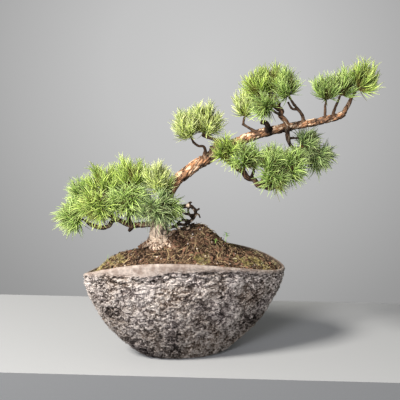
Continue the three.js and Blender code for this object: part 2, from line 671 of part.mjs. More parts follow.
function buildSoil() {
  const inset = POT.wall + GAP;
  const rings = [(angle) => potPoint(angle, 0, 0, POT.floor + GAP)];
  for (const { size, rise } of INNER_RINGS.slice(0, -1)) {
    rings.push((angle) => potPoint(angle, size, inset, Math.max(rise * rimHeight(angle), POT.floor + GAP)));
  }
  // The edge of the surface lies on the flat stretch of wall between the two uppermost rings.
  const [low, high] = INNER_RINGS.slice(-2);
  const edgePoint = (angle) => {
    const rise = 1 - SOIL.belowRim / rimHeight(angle);
    const bottom = potPoint(angle, low.size, inset, low.rise * rimHeight(angle));
    const top = potPoint(angle, high.size, inset, rimHeight(angle));
    return bottom.lerp(top, (rise - low.rise) / (high.rise - low.rise));
  };
  for (const share of [...SOIL_RINGS].reverse()) {
    rings.push((angle, segment) => {
      const edge = edgePoint(angle);
      if (share === 1) return edge;
      const middle = potPoint(angle, 0, 0, 0);
      const point = middle.lerp(new THREE.Vector3(edge.x, edge.y, 0), share);
      point.z = soilHeight(point.x, point.y, share, edge.z) + SOIL.clod * (draw(segment, share * 100) - 0.5);
      return point;
    });
  }
  rings.push((angle) => {
    const point = potPoint(angle, 0, 0, 0);
    point.z = soilHeight(point.x, point.y, 0, 0);
    return point;
  });
  let soil = ringBody(rings).subtract(buildRootHole());
  for (const place of drainPlaces()) {
    const size = DRAIN.screen + 2 * GAP;
    const pocket = new THREE.BoxGeometry(size, size, 2 * (DRAIN.thick + 2 * GAP));
    pocket.rotateZ(POT.yaw).translate(place.x, place.y, POT.floor);
    soil = soil.subtract(solidOf(pocket));
  }
  return mainBody(soil);
}

// ---- the tree in its pot -----------------------------------------------------------------------

const material = (color, roughness) => new THREE.MeshStandardMaterial({ color, roughness, metalness: 0 });
const MATERIALS = {
  stoneware: material(0x8d837c, 0.95),
  soil: material(0x5b4636, 1),
  bark: material(0x8a5f43, 0.9),
  needles: material(0x7f9f4b, 0.6),
  screen: material(0x26282a, 0.6),
};

const bonsai = new THREE.Group();

function addPiece(name, geometry, finish) {
  const mesh = new THREE.Mesh(geometry, MATERIALS[finish]);
  mesh.name = name;
  bonsai.add(mesh);
  return mesh;
}

addPiece("pot", geometryOf(buildPot()), "stoneware");
addPiece("soil", geometryOf(buildSoil()), "soil");
addPiece("wood", geometryOf(buildWood()), "bark");
drainPlaces().forEach((place, i) => {
  const screen = addPiece(`drain_screen_${i === 0 ? "left" : "right"}`, geometryOf(screenSolid()), "screen");
  screen.position.set(place.x, place.y, POT.floor + GAP + DRAIN.thick / 2);
  screen.rotation.z = POT.yaw;
});
for (const [name, geometry] of buildSprays()) addPiece(`needles_${name}`, geometry, "needles");

export default bonsai;
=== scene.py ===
"""A dwarf mountain pine trained as a leaning bonsai, planted in a rough oval stoneware pot.

Tables are in millimetres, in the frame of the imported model: +Z up, +X towards the leaning tip, -Y to
the viewer, and the origin in the middle of the pot's foot. Meshes are in metres.
"""

import logging
import math
from dataclasses import dataclass, field
from enum import Enum
from functools import partial

import bpy
import numpy as np
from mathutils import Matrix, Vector
from mathutils.kdtree import KDTree


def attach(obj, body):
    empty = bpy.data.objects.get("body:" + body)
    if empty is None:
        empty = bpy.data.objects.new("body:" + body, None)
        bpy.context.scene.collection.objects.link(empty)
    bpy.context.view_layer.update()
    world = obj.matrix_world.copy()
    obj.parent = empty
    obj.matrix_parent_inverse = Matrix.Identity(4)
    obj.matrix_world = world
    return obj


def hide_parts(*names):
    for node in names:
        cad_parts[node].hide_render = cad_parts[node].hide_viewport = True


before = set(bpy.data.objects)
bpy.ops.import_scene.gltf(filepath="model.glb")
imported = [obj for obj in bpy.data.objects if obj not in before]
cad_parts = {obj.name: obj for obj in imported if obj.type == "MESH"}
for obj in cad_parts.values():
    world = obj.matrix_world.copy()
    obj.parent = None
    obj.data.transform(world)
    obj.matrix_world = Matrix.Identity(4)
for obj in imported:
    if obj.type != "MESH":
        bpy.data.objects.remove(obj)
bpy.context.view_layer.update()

log = logging.getLogger("bonsai")
MM = 0.001
GOLDEN_ANGLE = math.pi * (3 - math.sqrt(5))
# What the types of a tree's nodes start with.
PREFIXES = {
    "ShaderNodeTree": ("ShaderNode",),
    "GeometryNodeTree": ("GeometryNode", "FunctionNode", "ShaderNode", "Node"),
}

# ---- colour and node helpers ------------------------------------------------------------------------


def linear(code: str) -> tuple[float, float, float, float]:
    """Turns an sRGB hex value such as "#8a5f43" into linear RGBA.

    Args:
        code: the colour, with its leading hash.

    Returns:
        Red, green, blue and an alpha of 1.
    """
    parts = [int(code[i : i + 2], 16) / 255 for i in (1, 3, 5)]
    return (*[p / 12.92 if p <= 0.04045 else ((p + 0.055) / 1.055) ** 2.4 for p in parts], 1.0)


def fill(node: bpy.types.Node, links: dict[int | str, object]) -> None:
    """Fills a node's inputs.

    Args:
        node: the node.
        links: a value, a node or an output socket for each input, by its name or number.
    """
    for key, value in links.items():
        if isinstance(value, bpy.types.Node):
            value = next(output for output in value.outputs if output.enabled)
        if isinstance(value, bpy.types.NodeSocket):
            node.id_data.links.new(value, node.inputs[key])
        else:
            node.inputs[key].default_value = value


def add_node(
    tree: bpy.types.NodeTree,
    kind: str,
    links: dict[int | str, object] | None = None,
    stops: tuple[tuple[float, str], ...] = (),
    **settings: object,
) -> bpy.types.Node:
    """Adds a node, sets its properties and fills its inputs.

    Args:
        tree: the tree that gets the node.
        kind: the node's type without its prefix, such as Math or SetPosition.
        links: what goes into its inputs, as in fill.
        stops: places and hex colours, for a colour ramp.
        **settings: the node's own properties.

    Returns:
        The new node.
    """
    names = (prefix + kind for prefix in PREFIXES[tree.bl_idname])
    node = tree.nodes.new(next(name for name in names if hasattr(bpy.types, name)))
    for name, value in settings.items():
        setattr(node, name, value)
    if stops:
        elements = node.color_ramp.elements
        while len(elements) < len(stops):
            elements.new(0.5)
        for element, (place, code) in zip(elements, stops):
            element.position = place
            element.color = linear(code)
    fill(node, links or {})
    return node


class Rule:
    """A Geometry Nodes tree with named inputs that turns a plain mesh into a finished one."""

    SOCKETS = {
        float: "NodeSocketFloat",
        int: "NodeSocketInt",
        bpy.types.Material: "NodeSocketMaterial",
        bpy.types.Object: "NodeSocketObject",
    }

    def __init__(self, name: str, inputs: dict[str, type]) -> None:
        """Starts the tree.

        Args:
            name: the tree's name.
            inputs: the type of each named input.
        """
        self.tree = bpy.data.node_groups.new(name, "GeometryNodeTree")
        self.add = partial(add_node, self.tree)
        face = self.tree.interface
        for side in ("INPUT", "OUTPUT"):
            face.new_socket("Geometry", in_out=side, socket_type="NodeSocketGeometry")
        self.keys = {
            label: face.new_socket(label, in_out="INPUT", socket_type=self.SOCKETS[kind]).identifier
            for label, kind in inputs.items()
        }
        self.inputs = self.add("GroupInput").outputs

    def height(self, pattern: object, level: float, *factors: object) -> bpy.types.Node:
        """Turns a pattern into a height above or below the plain surface.

        Args:
            pattern: the node or socket that gives the pattern.
            level: the pattern's usual value, which leaves the surface where it is.
            *factors: what the height is multiplied by, such as its size in metres and a mask.

        Returns:
            The node that gives the height.
        """
        height = self.add("Math", {0: pattern, 1: level}, operation="SUBTRACT")
        for factor in factors:
            height = self.add("Math", {0: height, 1: factor}, operation="MULTIPLY")
        return height

    def end(self, geometry: object, finish: object) -> None:
        """Realizes the instances, gives them their finish and closes the tree.

        Args:
            geometry: the node or socket whose geometry is the result.
            finish: the socket of the material, or None where the parts already have theirs.
        """
        last = self.add("RealizeInstances", {0: geometry})
        if finish is not None:
            last = self.add("SetMaterial", {"Geometry": last, "Material": finish})
        self.add("GroupOutput", {0: last})

    def run(self, name: str, mesh: bpy.types.Mesh, **values: object) -> bpy.types.Object:
        """Makes a piece from a mesh.

        Args:
            name: the piece's name.
            mesh: what the rule starts from.
            **values: a value for each named input, with _ for each space in its name.

        Returns:
            The piece, with a plain mesh and no modifier.
        """
        piece = bpy.data.objects.new(name, mesh)
        bpy.context.scene.collection.objects.link(piece)
        modifier = piece.modifiers.new("rule", "NODES")
        modifier.node_group = self.tree
        for label, value in values.items():
            modifier[self.keys[label.replace("_", " ")]] = value
        settle(piece)
        return piece


def settle(piece: bpy.types.Object) -> None:
    """Replaces a piece's mesh by what its modifiers make of it, and removes them.

    Args:
        piece: the piece, which is linked to the scene.
    """
    graph = bpy.context.evaluated_depsgraph_get()
    piece.data = bpy.data.meshes.new_from_object(
        piece.evaluated_get(graph), preserve_all_data_layers=True, depsgraph=graph
    )
    piece.modifiers.clear()
    piece.data.name = piece.name


def mesh_of(name: str, points: np.ndarray | list, faces: list, edges: list | tuple = ()) -> bpy.types.Mesh:
    """Makes a mesh from points in millimetres.

    Args:
        name: the mesh's name.
        points: rows of x, y and z.
        faces: the corners of each face.
        edges: pairs of points, for a mesh of lines.

    Returns:
        The mesh, in metres.
    """
    mesh = bpy.data.meshes.new(name)
    mesh.from_pydata((np.asarray(points) * MM).tolist(), edges, faces)
    return mesh


def mark(mesh: bpy.types.Mesh, name: str, values: np.ndarray | list) -> None:
    """Stores a number or a vector for each point of a mesh.

    Args:
        mesh: the mesh.
        name: the attribute's name.
        values: one number, or three, for each point.
    """
    values = np.asarray(values, np.float32)
    kind, key = ("FLOAT", "value") if values.ndim == 1 else ("FLOAT_VECTOR", "vector")
    mesh.attributes.new(name, kind, "POINT").data.foreach_set(key, values.ravel())


def points_of(mesh: bpy.types.Mesh) -> np.ndarray:
    """Reads a mesh's points.

    Args:
        mesh: the mesh, in metres.

    Returns:
        One row of x, y and z in millimetres for each point.
    """
    flat = np.empty(len(mesh.vertices) * 3, np.float32)
    mesh.vertices.foreach_get("co", flat)
    return flat.reshape(-1, 3).astype(float) / MM


def smooth(low: float, high: float, x: np.ndarray) -> np.ndarray:
    """Rises smoothly from 0 at low to 1 at high."""
    t = np.clip((x - low) / (high - low), 0, 1)
    return t * t * (3 - 2 * t)


# ---- finishes ---------------------------------------------------------------------------------------


@dataclass(frozen=True)
class Finish:
    """What every finish has: a name, and one way to start its node tree."""

    name: str

    def start(self, roughness: float, ior: float, specular: float = 0.5) -> tuple:
        """Starts the material.

        Args:
            roughness: of the surface, unless a node sets it.
            ior: index of refraction of the real material.
            specular: strength of the gloss.

        Returns:
            The material, the function that adds a node to it, and its Principled shader.
        """
        material = bpy.data.materials.new(self.name)
        material.use_nodes = True
        shader = material.node_tree.nodes["Principled BSDF"]
        fill(shader, {"Roughness": roughness, "IOR": ior, "Specular IOR Level": specular})
        return material, partial(add_node, material.node_tree), shader


@dataclass(frozen=True)
class NeedleFinish(Finish):
    """Living pine needles: a thin wax coat over green flesh, with painted shade at the root and a painted
    highlight towards the tip.
    """

    # root holds painted shade where each needle sits deep in the spray, and tip a painted highlight.
    root: str
    blade: str
    tip: str
    # old: needles of past years, also darker as painted shade deep in the spray.
    old: str  # needles of past years, deeper inside the spray

    def material(self) -> bpy.types.Material:
        """Builds the material, which reads how far along its needle a point is, and each needle's tint.

        Returns:
            The material.
        """
        material, add, shader = self.start(0.42, 1.45)
        along, tint, age = (
            add("Attribute", attribute_name=name).outputs["Fac"] for name in ("along", "tint", "age")
        )
        # Each needle is darkened at its root as painted shade and paled at its tip as a painted highlight.
        green = add("ValToRGB", {0: along}, stops=[(0.0, self.root), (0.35, self.blade), (1.0, self.tip)])
        hue = add("MapRange", {0: tint, 3: 0.515, 4: 0.485})
        shade = add("MapRange", {0: tint, 3: 0.42, 4: 1.5})
        varied = add("HueSaturation", {"Hue": hue, "Value": shade, "Color": green})
        # Inner shoots take the old colour: needles of past years, and painted shade deep in the spray.
        aged_and_shaded = add("Mix", {0: age, 6: varied, 7: linear(self.old)}, data_type="RGBA")
        fill(shader, {"Base Color": aged_and_shaded})
        return material


@dataclass(frozen=True)
class Bark(Finish):
    """Old pine bark: thin dry plates that flake off, pinkish tan where fresh, grey-brown where weathered."""

    flake: str = "#f4dabc"  # the thin paper-like edge of a plate
    fresh: str = "#c48d63"
    weathered: str = "#7a5f4c"
    old: str = "#3d2b1f"
    pale: str = "#f6e0c6"  # lower trunk, where it has been brushed clean
    twig: str = "#4b392c"
    crack: str = "#1b120c"
    dead: str = "#17110d"  # scars, the cut stump and dead twigs

    def material(self) -> bpy.types.Material:
        """Builds the material, which reads the plates' relief and the limb's girth from the mesh.

        Returns:
            The material.
        """
        material, add, shader = self.start(0.85, 1.45, 0.25)
        place = add("TexCoord").outputs["Object"]
        marks = {
            name: add("Attribute", attribute_name=name).outputs["Fac"]
            for name in ("plate", "relief", "girth", "clean", "under", "black")
        }
        grain = add("Attribute", attribute_name="grain").outputs["Vector"]
        # Flakes of about 2.5 mm lie on the plates, drawn out along the limb.
        warp = add("TexNoise", {"Vector": grain, "Scale": 260.0, "Detail": 3.0})
        bent = {0: warp.outputs["Color"], 1: (0.0035,) * 3, 2: grain}
        warped = add("VectorMath", bent, operation="MULTIPLY_ADD")
        flakes = add("TexVoronoi", {"Vector": warped, "Scale": 400.0}, feature="F1")
        flake_tone = add("SeparateColor", {0: flakes.outputs["Color"]})
        fine = add("TexNoise", {"Vector": place, "Scale": 700.0, "Detail": 5.0, "Roughness": 0.75})
        patches = add("TexNoise", {"Vector": place, "Scale": 60.0, "Detail": 4.0, "Roughness": 0.6})
        broad = add("Math", {0: patches, 1: 0.9, 2: marks["plate"]}, operation="MULTIPLY_ADD")
        mixed = add("Math", {0: flake_tone, 1: 0.75, 2: broad}, operation="MULTIPLY_ADD")
        tone = add(
            "ValToRGB", {0: add("MapRange", {0: mixed, 1: 0.55, 2: 2.0})},
            stops=[(0.0, self.old), (0.3, self.weathered), (0.58, self.fresh), (0.85, self.flake)],
        )
        thin = add("MapRange", {0: marks["girth"], 1: 0.0024, 2: 0.0056, 3: 0.93, 4: 0.0})
        twigs = add("Mix", {0: thin, 6: tone, 7: linear(self.twig)}, data_type="RGBA")
        rubbed = add("Math", {0: flake_tone, 1: 0.4, 2: 0.7}, operation="MULTIPLY_ADD")
        cleaned = add("Math", {0: marks["clean"], 1: rubbed}, operation="MULTIPLY")
        brushed = add("Mix", {0: cleaned, 6: twigs, 7: linear(self.pale)}, data_type="RGBA")
        depth = add("MapRange", {0: marks["relief"], 1: 0.3, 2: 0.72, 3: 1.0, 4: 0.0})
        cracked = add("Mix", {0: depth, 6: brushed, 7: linear(self.crack)}, data_type="RGBA")
        dark = add("Mix", {0: marks["black"], 6: cracked, 7: linear(self.dead)}, data_type="RGBA")
        # Painted shade: the more the bark faces down, the darker it is made.
        darker_below = add("MapRange", {0: marks["under"], 1: 0.05, 2: 0.8, 3: 1.06, 4: 0.18})
        speckle = add("MapRange", {0: fine, 1: 0.3, 2: 0.7, 3: 0.6, 4: 1.35})
        value = add("Math", {0: darker_below, 1: speckle}, operation="MULTIPLY")
        toned = add("HueSaturation", {"Value": value, "Color": dark})
        lift = add("Math", {0: flake_tone, 1: 1.2, 2: fine}, operation="MULTIPLY_ADD")
        bump = add("Bump", {"Strength": 0.8, "Distance": 0.0011, "Height": lift})
        fill(shader, {"Base Color": toned, "Normal": bump})
        return material


@dataclass(frozen=True)
class Stoneware(Finish):
    """Unglazed stoneware with a torn, pitted skin: pale and chalky where it stands out, dark in its pits."""

    high: str = "#fdf5ef"
    middle: str = "#b9ada5"
    low: str = "#62564f"
    # pit is also the colour of the painted shadow in the groove below the lip.
    pit_and_shadow: str = "#1d1815"
    lip: str = "#b3a69c"  # smoothed with a wet finger while soft, so it is finer and pinker
    lip_dark: str = "#84736a"
    lip_dull: str = "#a08f84"
    lip_pale: str = "#d0c0b5"
    cool: str = "#675f7a"  # the fire left cool and warm clouds in the clay
    neutral: str = "#857d79"
    warm: str = "#ad8d6b"
    soiled: str = "#33271b"  # the inside, where wet soil has touched it

    def material(self) -> bpy.types.Material:
        """Builds the material, which reads the skin's relief and where the lip is from the mesh.

        Returns:
            The material.
        """
        material, add, shader = self.start(0.93, 1.5, 0.2)
        place = add("TexCoord").outputs["Object"]
        marks = {
            name: add("Attribute", attribute_name=name).outputs["Fac"]
            for name in ("relief", "crust", "groove", "low", "inside")
        }
        streak = add("VectorMath", {0: place, 1: (1.0, 1.0, 1.7)}, operation="MULTIPLY")
        specks = {"Vector": streak, "Scale": 500.0, "Detail": 6.0, "Roughness": 0.74, "Distortion": 0.8}
        speck = add("TexNoise", specks)
        sharp = add("MapRange", {0: speck, 1: 0.38, 2: 0.62})
        blotch = add("TexNoise", {"Vector": place, "Scale": 22.0, "Detail": 5.0, "Roughness": 0.6})
        cloud = add("MapRange", {0: blotch, 1: 0.34, 2: 0.66})
        # Colour follows the relief loosely: chalk rubs off some high places and settles in low ones.
        # Fewer pale flakes towards the foot: partly a darker foot, partly painted shade.
        foot_darkening = add("MapRange", {0: marks["low"], 1: 0.0, 2: 0.12, 3: -0.34, 4: 0.0})
        stood = add("Math", {0: marks["relief"], 1: foot_darkening}, operation="ADD")
        loose = add("Math", {0: sharp, 1: 1.1, 2: stood}, operation="MULTIPLY_ADD")
        broad = add("Math", {0: cloud, 1: 0.75, 2: loose}, operation="MULTIPLY_ADD")
        body = add(
            "ValToRGB", {0: add("MapRange", {0: broad, 1: 0.65, 2: 1.86})},
            stops=[(0.0, self.pit_and_shadow), (0.25, self.low), (0.52, self.middle), (0.85, self.high)],
        )
        clouds = add(
            "ValToRGB", {0: add("TexNoise", {"Vector": place, "Scale": 17.0, "Detail": 4.0})},
            stops=[(0.36, self.cool), (0.5, self.neutral), (0.62, self.warm)],
        )
        stained = add("Mix", {0: 0.55, 6: body, 7: clouds}, data_type="RGBA", blend_type="SOFT_LIGHT")
        smear = add("TexNoise", {"Vector": place, "Scale": 70.0, "Detail": 6.0, "Roughness": 0.7})
        lip = add(
            "ValToRGB", {0: smear},
            stops=[(0.32, self.lip_dark), (0.46, self.lip_dull), (0.55, self.lip), (0.7, self.lip_pale)],
        )
        skin = add("Mix", {0: marks["crust"], 6: lip, 7: stained}, data_type="RGBA")
        # Painted shadow: the groove below the lip is darkened towards the pit colour.
        shade = add("Math", {0: marks["groove"], 1: 0.85}, operation="MULTIPLY")
        cut = add("Mix", {0: shade, 6: skin, 7: linear(self.pit_and_shadow)}, data_type="RGBA")
        soiled = add("Mix", {0: marks["inside"], 6: cut, 7: linear(self.soiled)}, data_type="RGBA")
        # Darker towards the foot: partly a darker foot, partly painted shade.
        darker_below = add("MapRange", {0: marks["low"], 1: 0.0, 2: 0.15, 3: 0.38, 4: 1.24})
        # Thin torn edges curl over the skin, each with a painted shadow line below it.
        curls = {"Vector": streak, "Scale": 210.0, "Detail": 3.0, "Roughness": 0.55, "Distortion": 1.8}
        curl = add("TexNoise", curls)
        ledge = add("MapRange", {0: curl, 1: 0.47, 2: 0.52})
        beside = add("Math", {0: curl, 1: 0.475}, operation="SUBTRACT")
        away = add("Math", {0: beside}, operation="ABSOLUTE")
        line = add("MapRange", {0: away, 1: 0.004, 2: 0.018, 3: 0.25, 4: 1.0})
        ledge_shadow = add("Mix", {0: marks["crust"], 2: 1.0, 3: line})
        value = add("Math", {0: darker_below, 1: ledge_shadow}, operation="MULTIPLY")
        toned = add("HueSaturation", {"Value": value, "Color": soiled})
        edges = add("Math", {0: ledge, 1: marks["crust"]}, operation="MULTIPLY")
        lift = add("Math", {0: edges, 1: 0.6, 2: speck}, operation="MULTIPLY_ADD")
        bump = add("Bump", {"Strength": 1.0, "Distance": 0.003, "Height": lift})
        fill(shader, {"Base Color": toned, "Normal": bump})
        return material


@dataclass(frozen=True)
class Earth(Finish):
    """Bonsai soil: crumbs of loam and fired clay, dark where damp and dusty on top."""

    dark: str = "#1a110b"
    middle: str = "#483426"
    dusty: str = "#785f48"

    def material(self) -> bpy.types.Material:
        """Builds the material from two sizes of noise, about 1 and 8 mm.

        Returns:
            The material.
        """
        material, add, shader = self.start(0.95, 1.45, 0.2)
        place = add("TexCoord").outputs["Object"]
        crumbs = add("TexNoise", {"Vector": place, "Scale": 500.0, "Detail": 6.0, "Roughness": 0.75})
        patches = add("TexNoise", {"Vector": place, "Scale": 60.0, "Detail": 3.0})
        both = add("Math", {0: patches, 1: 0.6, 2: crumbs}, operation="MULTIPLY_ADD")
        level = add("Math", {0: both, 1: 0.3}, operation="SUBTRACT")
        tone = add("ValToRGB", {0: level}, stops=[(0.42, self.dark), (0.54, self.middle), (0.68, self.dusty)])
        bump = add("Bump", {"Strength": 0.8, "Distance": 0.001, "Height": crumbs})
        fill(shader, {"Base Color": tone, "Normal": bump})
        return material


@dataclass(frozen=True)
class Litter(Finish):
    """Small natural things, each a little different: grit, pebbles, bark, moss, straw or green shoots."""

    dark: str
    light: str
    roughness: float = 0.9

    def material(self) -> bpy.types.Material:
        """Builds the material, which reads each piece's tint.

        Returns:
            The material.
        """
        material, add, shader = self.start(self.roughness, 1.45, 0.3)
        tint = add("Attribute", attribute_name="tint").outputs["Fac"]
        place = add("TexCoord").outputs["Object"]
        mottle = add("TexNoise", {"Vector": place, "Scale": 900.0, "Detail": 3.0})
        both = add("Math", {0: mottle, 1: 0.4, 2: tint}, operation="MULTIPLY_ADD")
        tone = add("ValToRGB", {0: both}, stops=[(0.15, self.dark), (1.0, self.light)])
        fill(shader, {"Base Color": tone})
        return material


@dataclass(frozen=True)
class Plain(Finish):
    """A plain matte surface: the dark plastic of the drain mesh, or the paper and board of the studio."""

    colour: str
    roughness: float = 0.8

    def material(self) -> bpy.types.Material:
        """Builds the material, with a faint mottle of about 2 mm.

        Returns:
            The material.
        """
        material, add, shader = self.start(self.roughness, 1.46, 0.3)
        place = add("TexCoord").outputs["Object"]
        mottle = add("TexNoise", {"Vector": place, "Scale": 500.0, "Detail": 2.0})
        shade = add("MapRange", {0: mottle, 3: 0.96, 4: 1.04})
        tone = add("HueSaturation", {"Value": shade, "Color": linear(self.colour)})
        fill(shader, {"Base Color": tone})
        return material


class Foliage(Enum):
    """The five looks of the tree's needles, with root, blade, tip and old-needle colours."""

    PALE = NeedleFinish("needles_pale", "#64762f", "#c8da7c", "#e8f0b0", "#6c6c38")
    FRESH = NeedleFinish("needles_fresh", "#526526", "#adca60", "#d3e488", "#6c5c30")
    GREEN = NeedleFinish("needles_green", "#4c622a", "#a0bf62", "#c8de90", "#62562e")
    BLUISH = NeedleFinish("needles_bluish", "#526a3c", "#9fbb74", "#c4d49e", "#625c3c")
    DEEP = NeedleFinish("needles_deep", "#465a32", "#96b268", "#bed092", "#565034")


# ---- the tree's skeleton ----------------------------------------------------------------------------

# Centre lines of the wood, as (x, y, z, radius). Each one starts inside the wood that it grows from.
TRUNK = [
    (-38, 1, 140, 16.5), (-38, 0, 160, 16.3), (-38, -1, 174, 16.4), (-38, -1, 190, 15.6),
    (-37, -2, 207, 14.2), (-32, -4, 228, 10.6), (-26, -6, 251, 8.4), (-20, -5, 270, 8.2),
    (-11, -2, 285, 8.4), (4, 3, 298, 9),
    (21, 6, 310, 9.2), (37, 4, 320, 8.7), (53, 0, 332, 8.6), (72, -3, 342, 7.9), (91, -2, 351, 7.5),
    (109, 1, 358, 7.5), (131, 5, 364, 7.2), (155, 7, 369, 6.9), (178, 5, 374, 6.4), (201, 1, 379, 5.9),
    (224, -3, 385, 5.6), (243, -4, 390, 5.4), (253, -3, 395, 4.4),
]

ROOTS = [
    [(-33, -3, 194, 7), (-20, -14, 187, 5.5), (-5, -24, 178, 3.5)],
    [(-41, -1, 194, 7), (-55, -6, 186, 5), (-69, -10, 179, 3)],
    [(-33, 3, 198, 7), (-17, 6, 198, 6), (3, 8, 199, 4)],
    [(-39, 4, 193, 7), (-45, 20, 183, 5), (-50, 36, 171, 3)],
]

LIMBS = {
    "left_main": [
        (-34, -3, 222, 5.2), (-52, 2, 216, 4.8), (-68, 3, 214, 4.8), (-82, 2, 214, 4.6), (-96, 0, 220, 4),
        (-110, -3, 228, 3.6), (-122, -4, 236, 3),
    ],
    "left_hook": [(-77, 2, 214, 3.2), (-82, 1, 208, 2.7), (-86, 0, 204, 1.5)],
    "left_loop": [
        (-102, -2, 225, 3.4), (-112, -6, 222, 3.2), (-115, -11, 217, 3.3), (-124, -13, 214, 3.4),
        (-135, -13, 215, 3.1), (-146, -13, 219, 2.8), (-153, -13, 226, 2.2),
    ],
    "dead_loop": [
        (-24, -6, 243, 2.8), (-8, -10, 247, 3), (2, -14, 248, 3), (10, -15, 250, 2.9), (17, -14, 246, 2.7),
        (21, -13, 239, 2.6), (18, -12, 230, 2.5), (11, -11, 223, 2.4), (3, -11, 218, 2.3),
        (-4, -12, 219, 2.3), (-13, -10, 215, 2.4), (-29, -6, 209, 2.6),
    ],
    "dead_end": [(6, -15, 248, 1.8), (11, -15, 254, 1.6), (15, -16, 256, 1.2)],
    "dead_spur": [(19, -14, 242, 1.8), (24, -15, 243, 1.5), (27, -16, 246, 1)],
    "dead_fork": [(8, -11, 221, 1.6), (14, -12, 216, 1.4), (20, -13, 215, 1)],
    "upper_stub": [(50, 0, 328, 7.2), (54, 0, 342, 6), (58, 0, 353, 4.6)],
    "upper_top": [(57, 0, 350, 3.2), (48, 1, 354, 2.6), (39, 3, 356, 2.4), (31, 6, 359, 2)],
    "upper_low": [
        (34, 2, 324, 3.2), (36, 0, 337, 2.1), (33, -1, 342, 1.9), (25, -2, 343, 1.8), (17, -3, 349, 1.7),
    ],
    "upper_knot": [(43, 1, 326, 3.4), (45, 0, 338, 2.6), (45, -1, 343, 1.6)],
    "hanging_main": [
        (58, -4, 332, 4.9), (72, -12, 322, 4.6), (87, -20, 311, 4.4), (95, -25, 307, 3.9),
        (101, -27, 298, 4.6), (112, -29, 295, 3.8), (118, -31, 287, 4.3), (127, -30, 284, 3.5),
        (137, -30, 281, 3.8), (147, -28, 283, 2.6),
    ],
    "hanging_spur": [(107, -29, 296, 2.6), (110, -33, 306, 2), (113, -34, 318, 1.4)],
    "crown_stem": [
        (163, 4, 374, 5.4), (161, 2, 383, 4.2), (154, 3, 390, 4.1), (156, 2, 398, 3.4), (150, 3, 405, 3.4),
        (152, 3, 412, 2.8),
    ],
    "crown_loop": [
        (180, 4, 374, 3.4), (189, 3, 382, 2.8), (187, 3, 392, 2.5), (181, 2, 400, 2.3), (175, 1, 408, 2),
    ],
    "crown_rung": [(181, 2, 400, 1.9), (172, 3, 401, 1.7), (165, 3, 412, 1.5)],
    "crown_side": [(118, 2, 363, 2.6), (104, 4, 371, 1.9), (94, 6, 377, 1.6)],
    "crown_stump": [(135, 2, 366, 4.4), (134, -5, 374, 4.4), (131, -7, 380, 4.2), (122, -8, 382, 3.6)],
    "under_main": [
        (164, 1, 371, 4.4), (165, -3, 360, 3.6), (167, -1, 349, 2.9), (174, 5, 339, 2.5), (183, 11, 337, 2.1),
    ],
    "under_rung": [(166, -2, 355, 1.9), (175, 6, 354, 1.5), (183, 12, 353, 1.3)],
    "tip_main": [(252, -3, 396, 4.2), (258, -1, 406, 3.2), (262, 0, 414, 2.8), (265, 2, 423, 2.3)],
    "tip_left": [(223, -2, 386, 2.2), (223, -1, 400, 1.7), (223, 0, 408, 1.5)],
    "tip_middle": [(234, -3, 389, 2.6), (238, -2, 402, 2.1), (241, -1, 410, 1.8)],
}


# Fine dead twigs in and round the loop beside the trunk, brittle and bare.
FINE_TWIGS = [
    [(-7, -12, 247, 1.8), (1, -16, 240, 1.5), (8, -17, 236, 1.4), (17, -15, 235, 1.5)],
    [(-1, -13, 248, 1.8), (-3, -16, 239, 1.5), (1, -17, 229, 1.5), (8, -13, 221, 1.4)],
    [(11, -14, 249, 1.7), (9, -17, 242, 1.4), (13, -17, 233, 1.4), (16, -13, 228, 1.4)],
    [(-14, -10, 216, 1.8), (-5, -13, 212, 1.5), (5, -14, 211, 1.4), (13, -13, 215, 1.2)],
    [(-9, -11, 219, 1.6), (-3, -15, 225, 1.4), (5, -15, 227, 1.3), (11, -13, 225, 1.3)],
    [(20, -13, 237, 1.6), (26, -15, 235, 1.3), (28, -16, 230, 0.9)],
    [(-14, -9, 246, 1.6), (-11, -12, 254, 1.4), (-5, -13, 257, 1)],
]


class CentreLine:
    """A smooth line through points, with a radius that changes along it."""

    def __init__(self, points: list[tuple[float, float, float, float]], step: float = 1.0) -> None:
        """Samples the line evenly.

        Args:
            points: (x, y, z, radius) in millimetres.
            step: about how far apart the samples lie.
        """
        table = np.array(points, float)
        knots = table[:, :3]
        ends = np.vstack([2 * knots[0] - knots[1], knots, 2 * knots[-1] - knots[-2]])
        share = np.linspace(0, 1, 40, endpoint=False)[:, None]
        places, radii = [], []
        for i in range(len(knots) - 1):
            p0, p1, p2, p3 = ends[i : i + 4]
            d0, d1, d2 = (math.sqrt(np.linalg.norm(b - a)) for a, b in ((p0, p1), (p1, p2), (p2, p3)))
            t1 = ((p1 - p0) / d0 - (p2 - p0) / (d0 + d1) + (p2 - p1) / d1) * d1
            t2 = ((p2 - p1) / d1 - (p3 - p1) / (d1 + d2) + (p3 - p2) / d2) * d1
            square, cube = 3 * (p2 - p1) - 2 * t1 - t2, 2 * (p1 - p2) + t1 + t2
            places.append(p1 + t1 * share + square * share**2 + cube * share**3)
            radii.append(table[i, 3] + (table[i + 1, 3] - table[i, 3]) * share[:, 0])
        places = np.vstack([*places, knots[-1:]])
        radii = np.append(np.concatenate(radii), table[-1, 3])
        run = np.append(0, np.cumsum(np.linalg.norm(np.diff(places, axis=0), axis=1)))
        self.length = run[-1]
        self.run = np.linspace(0, self.length, max(3, round(self.length / step) + 1))
        self.places = np.column_stack([np.interp(self.run, run, places[:, k]) for k in range(3)])
        self.radii = np.interp(self.run, run, radii)
        self.tangents = np.gradient(self.places, axis=0)
        self.tangents /= np.linalg.norm(self.tangents, axis=1)[:, None]
        self.end_heading = (places[-1] - places[-2]) / np.linalg.norm(places[-1] - places[-2])


def chain(first: int, count: int) -> list[tuple[int, int]]:
    """Returns the edges that join count points in turn, starting from point number first."""
    return [(i, i + 1) for i in range(first, first + count - 1)]


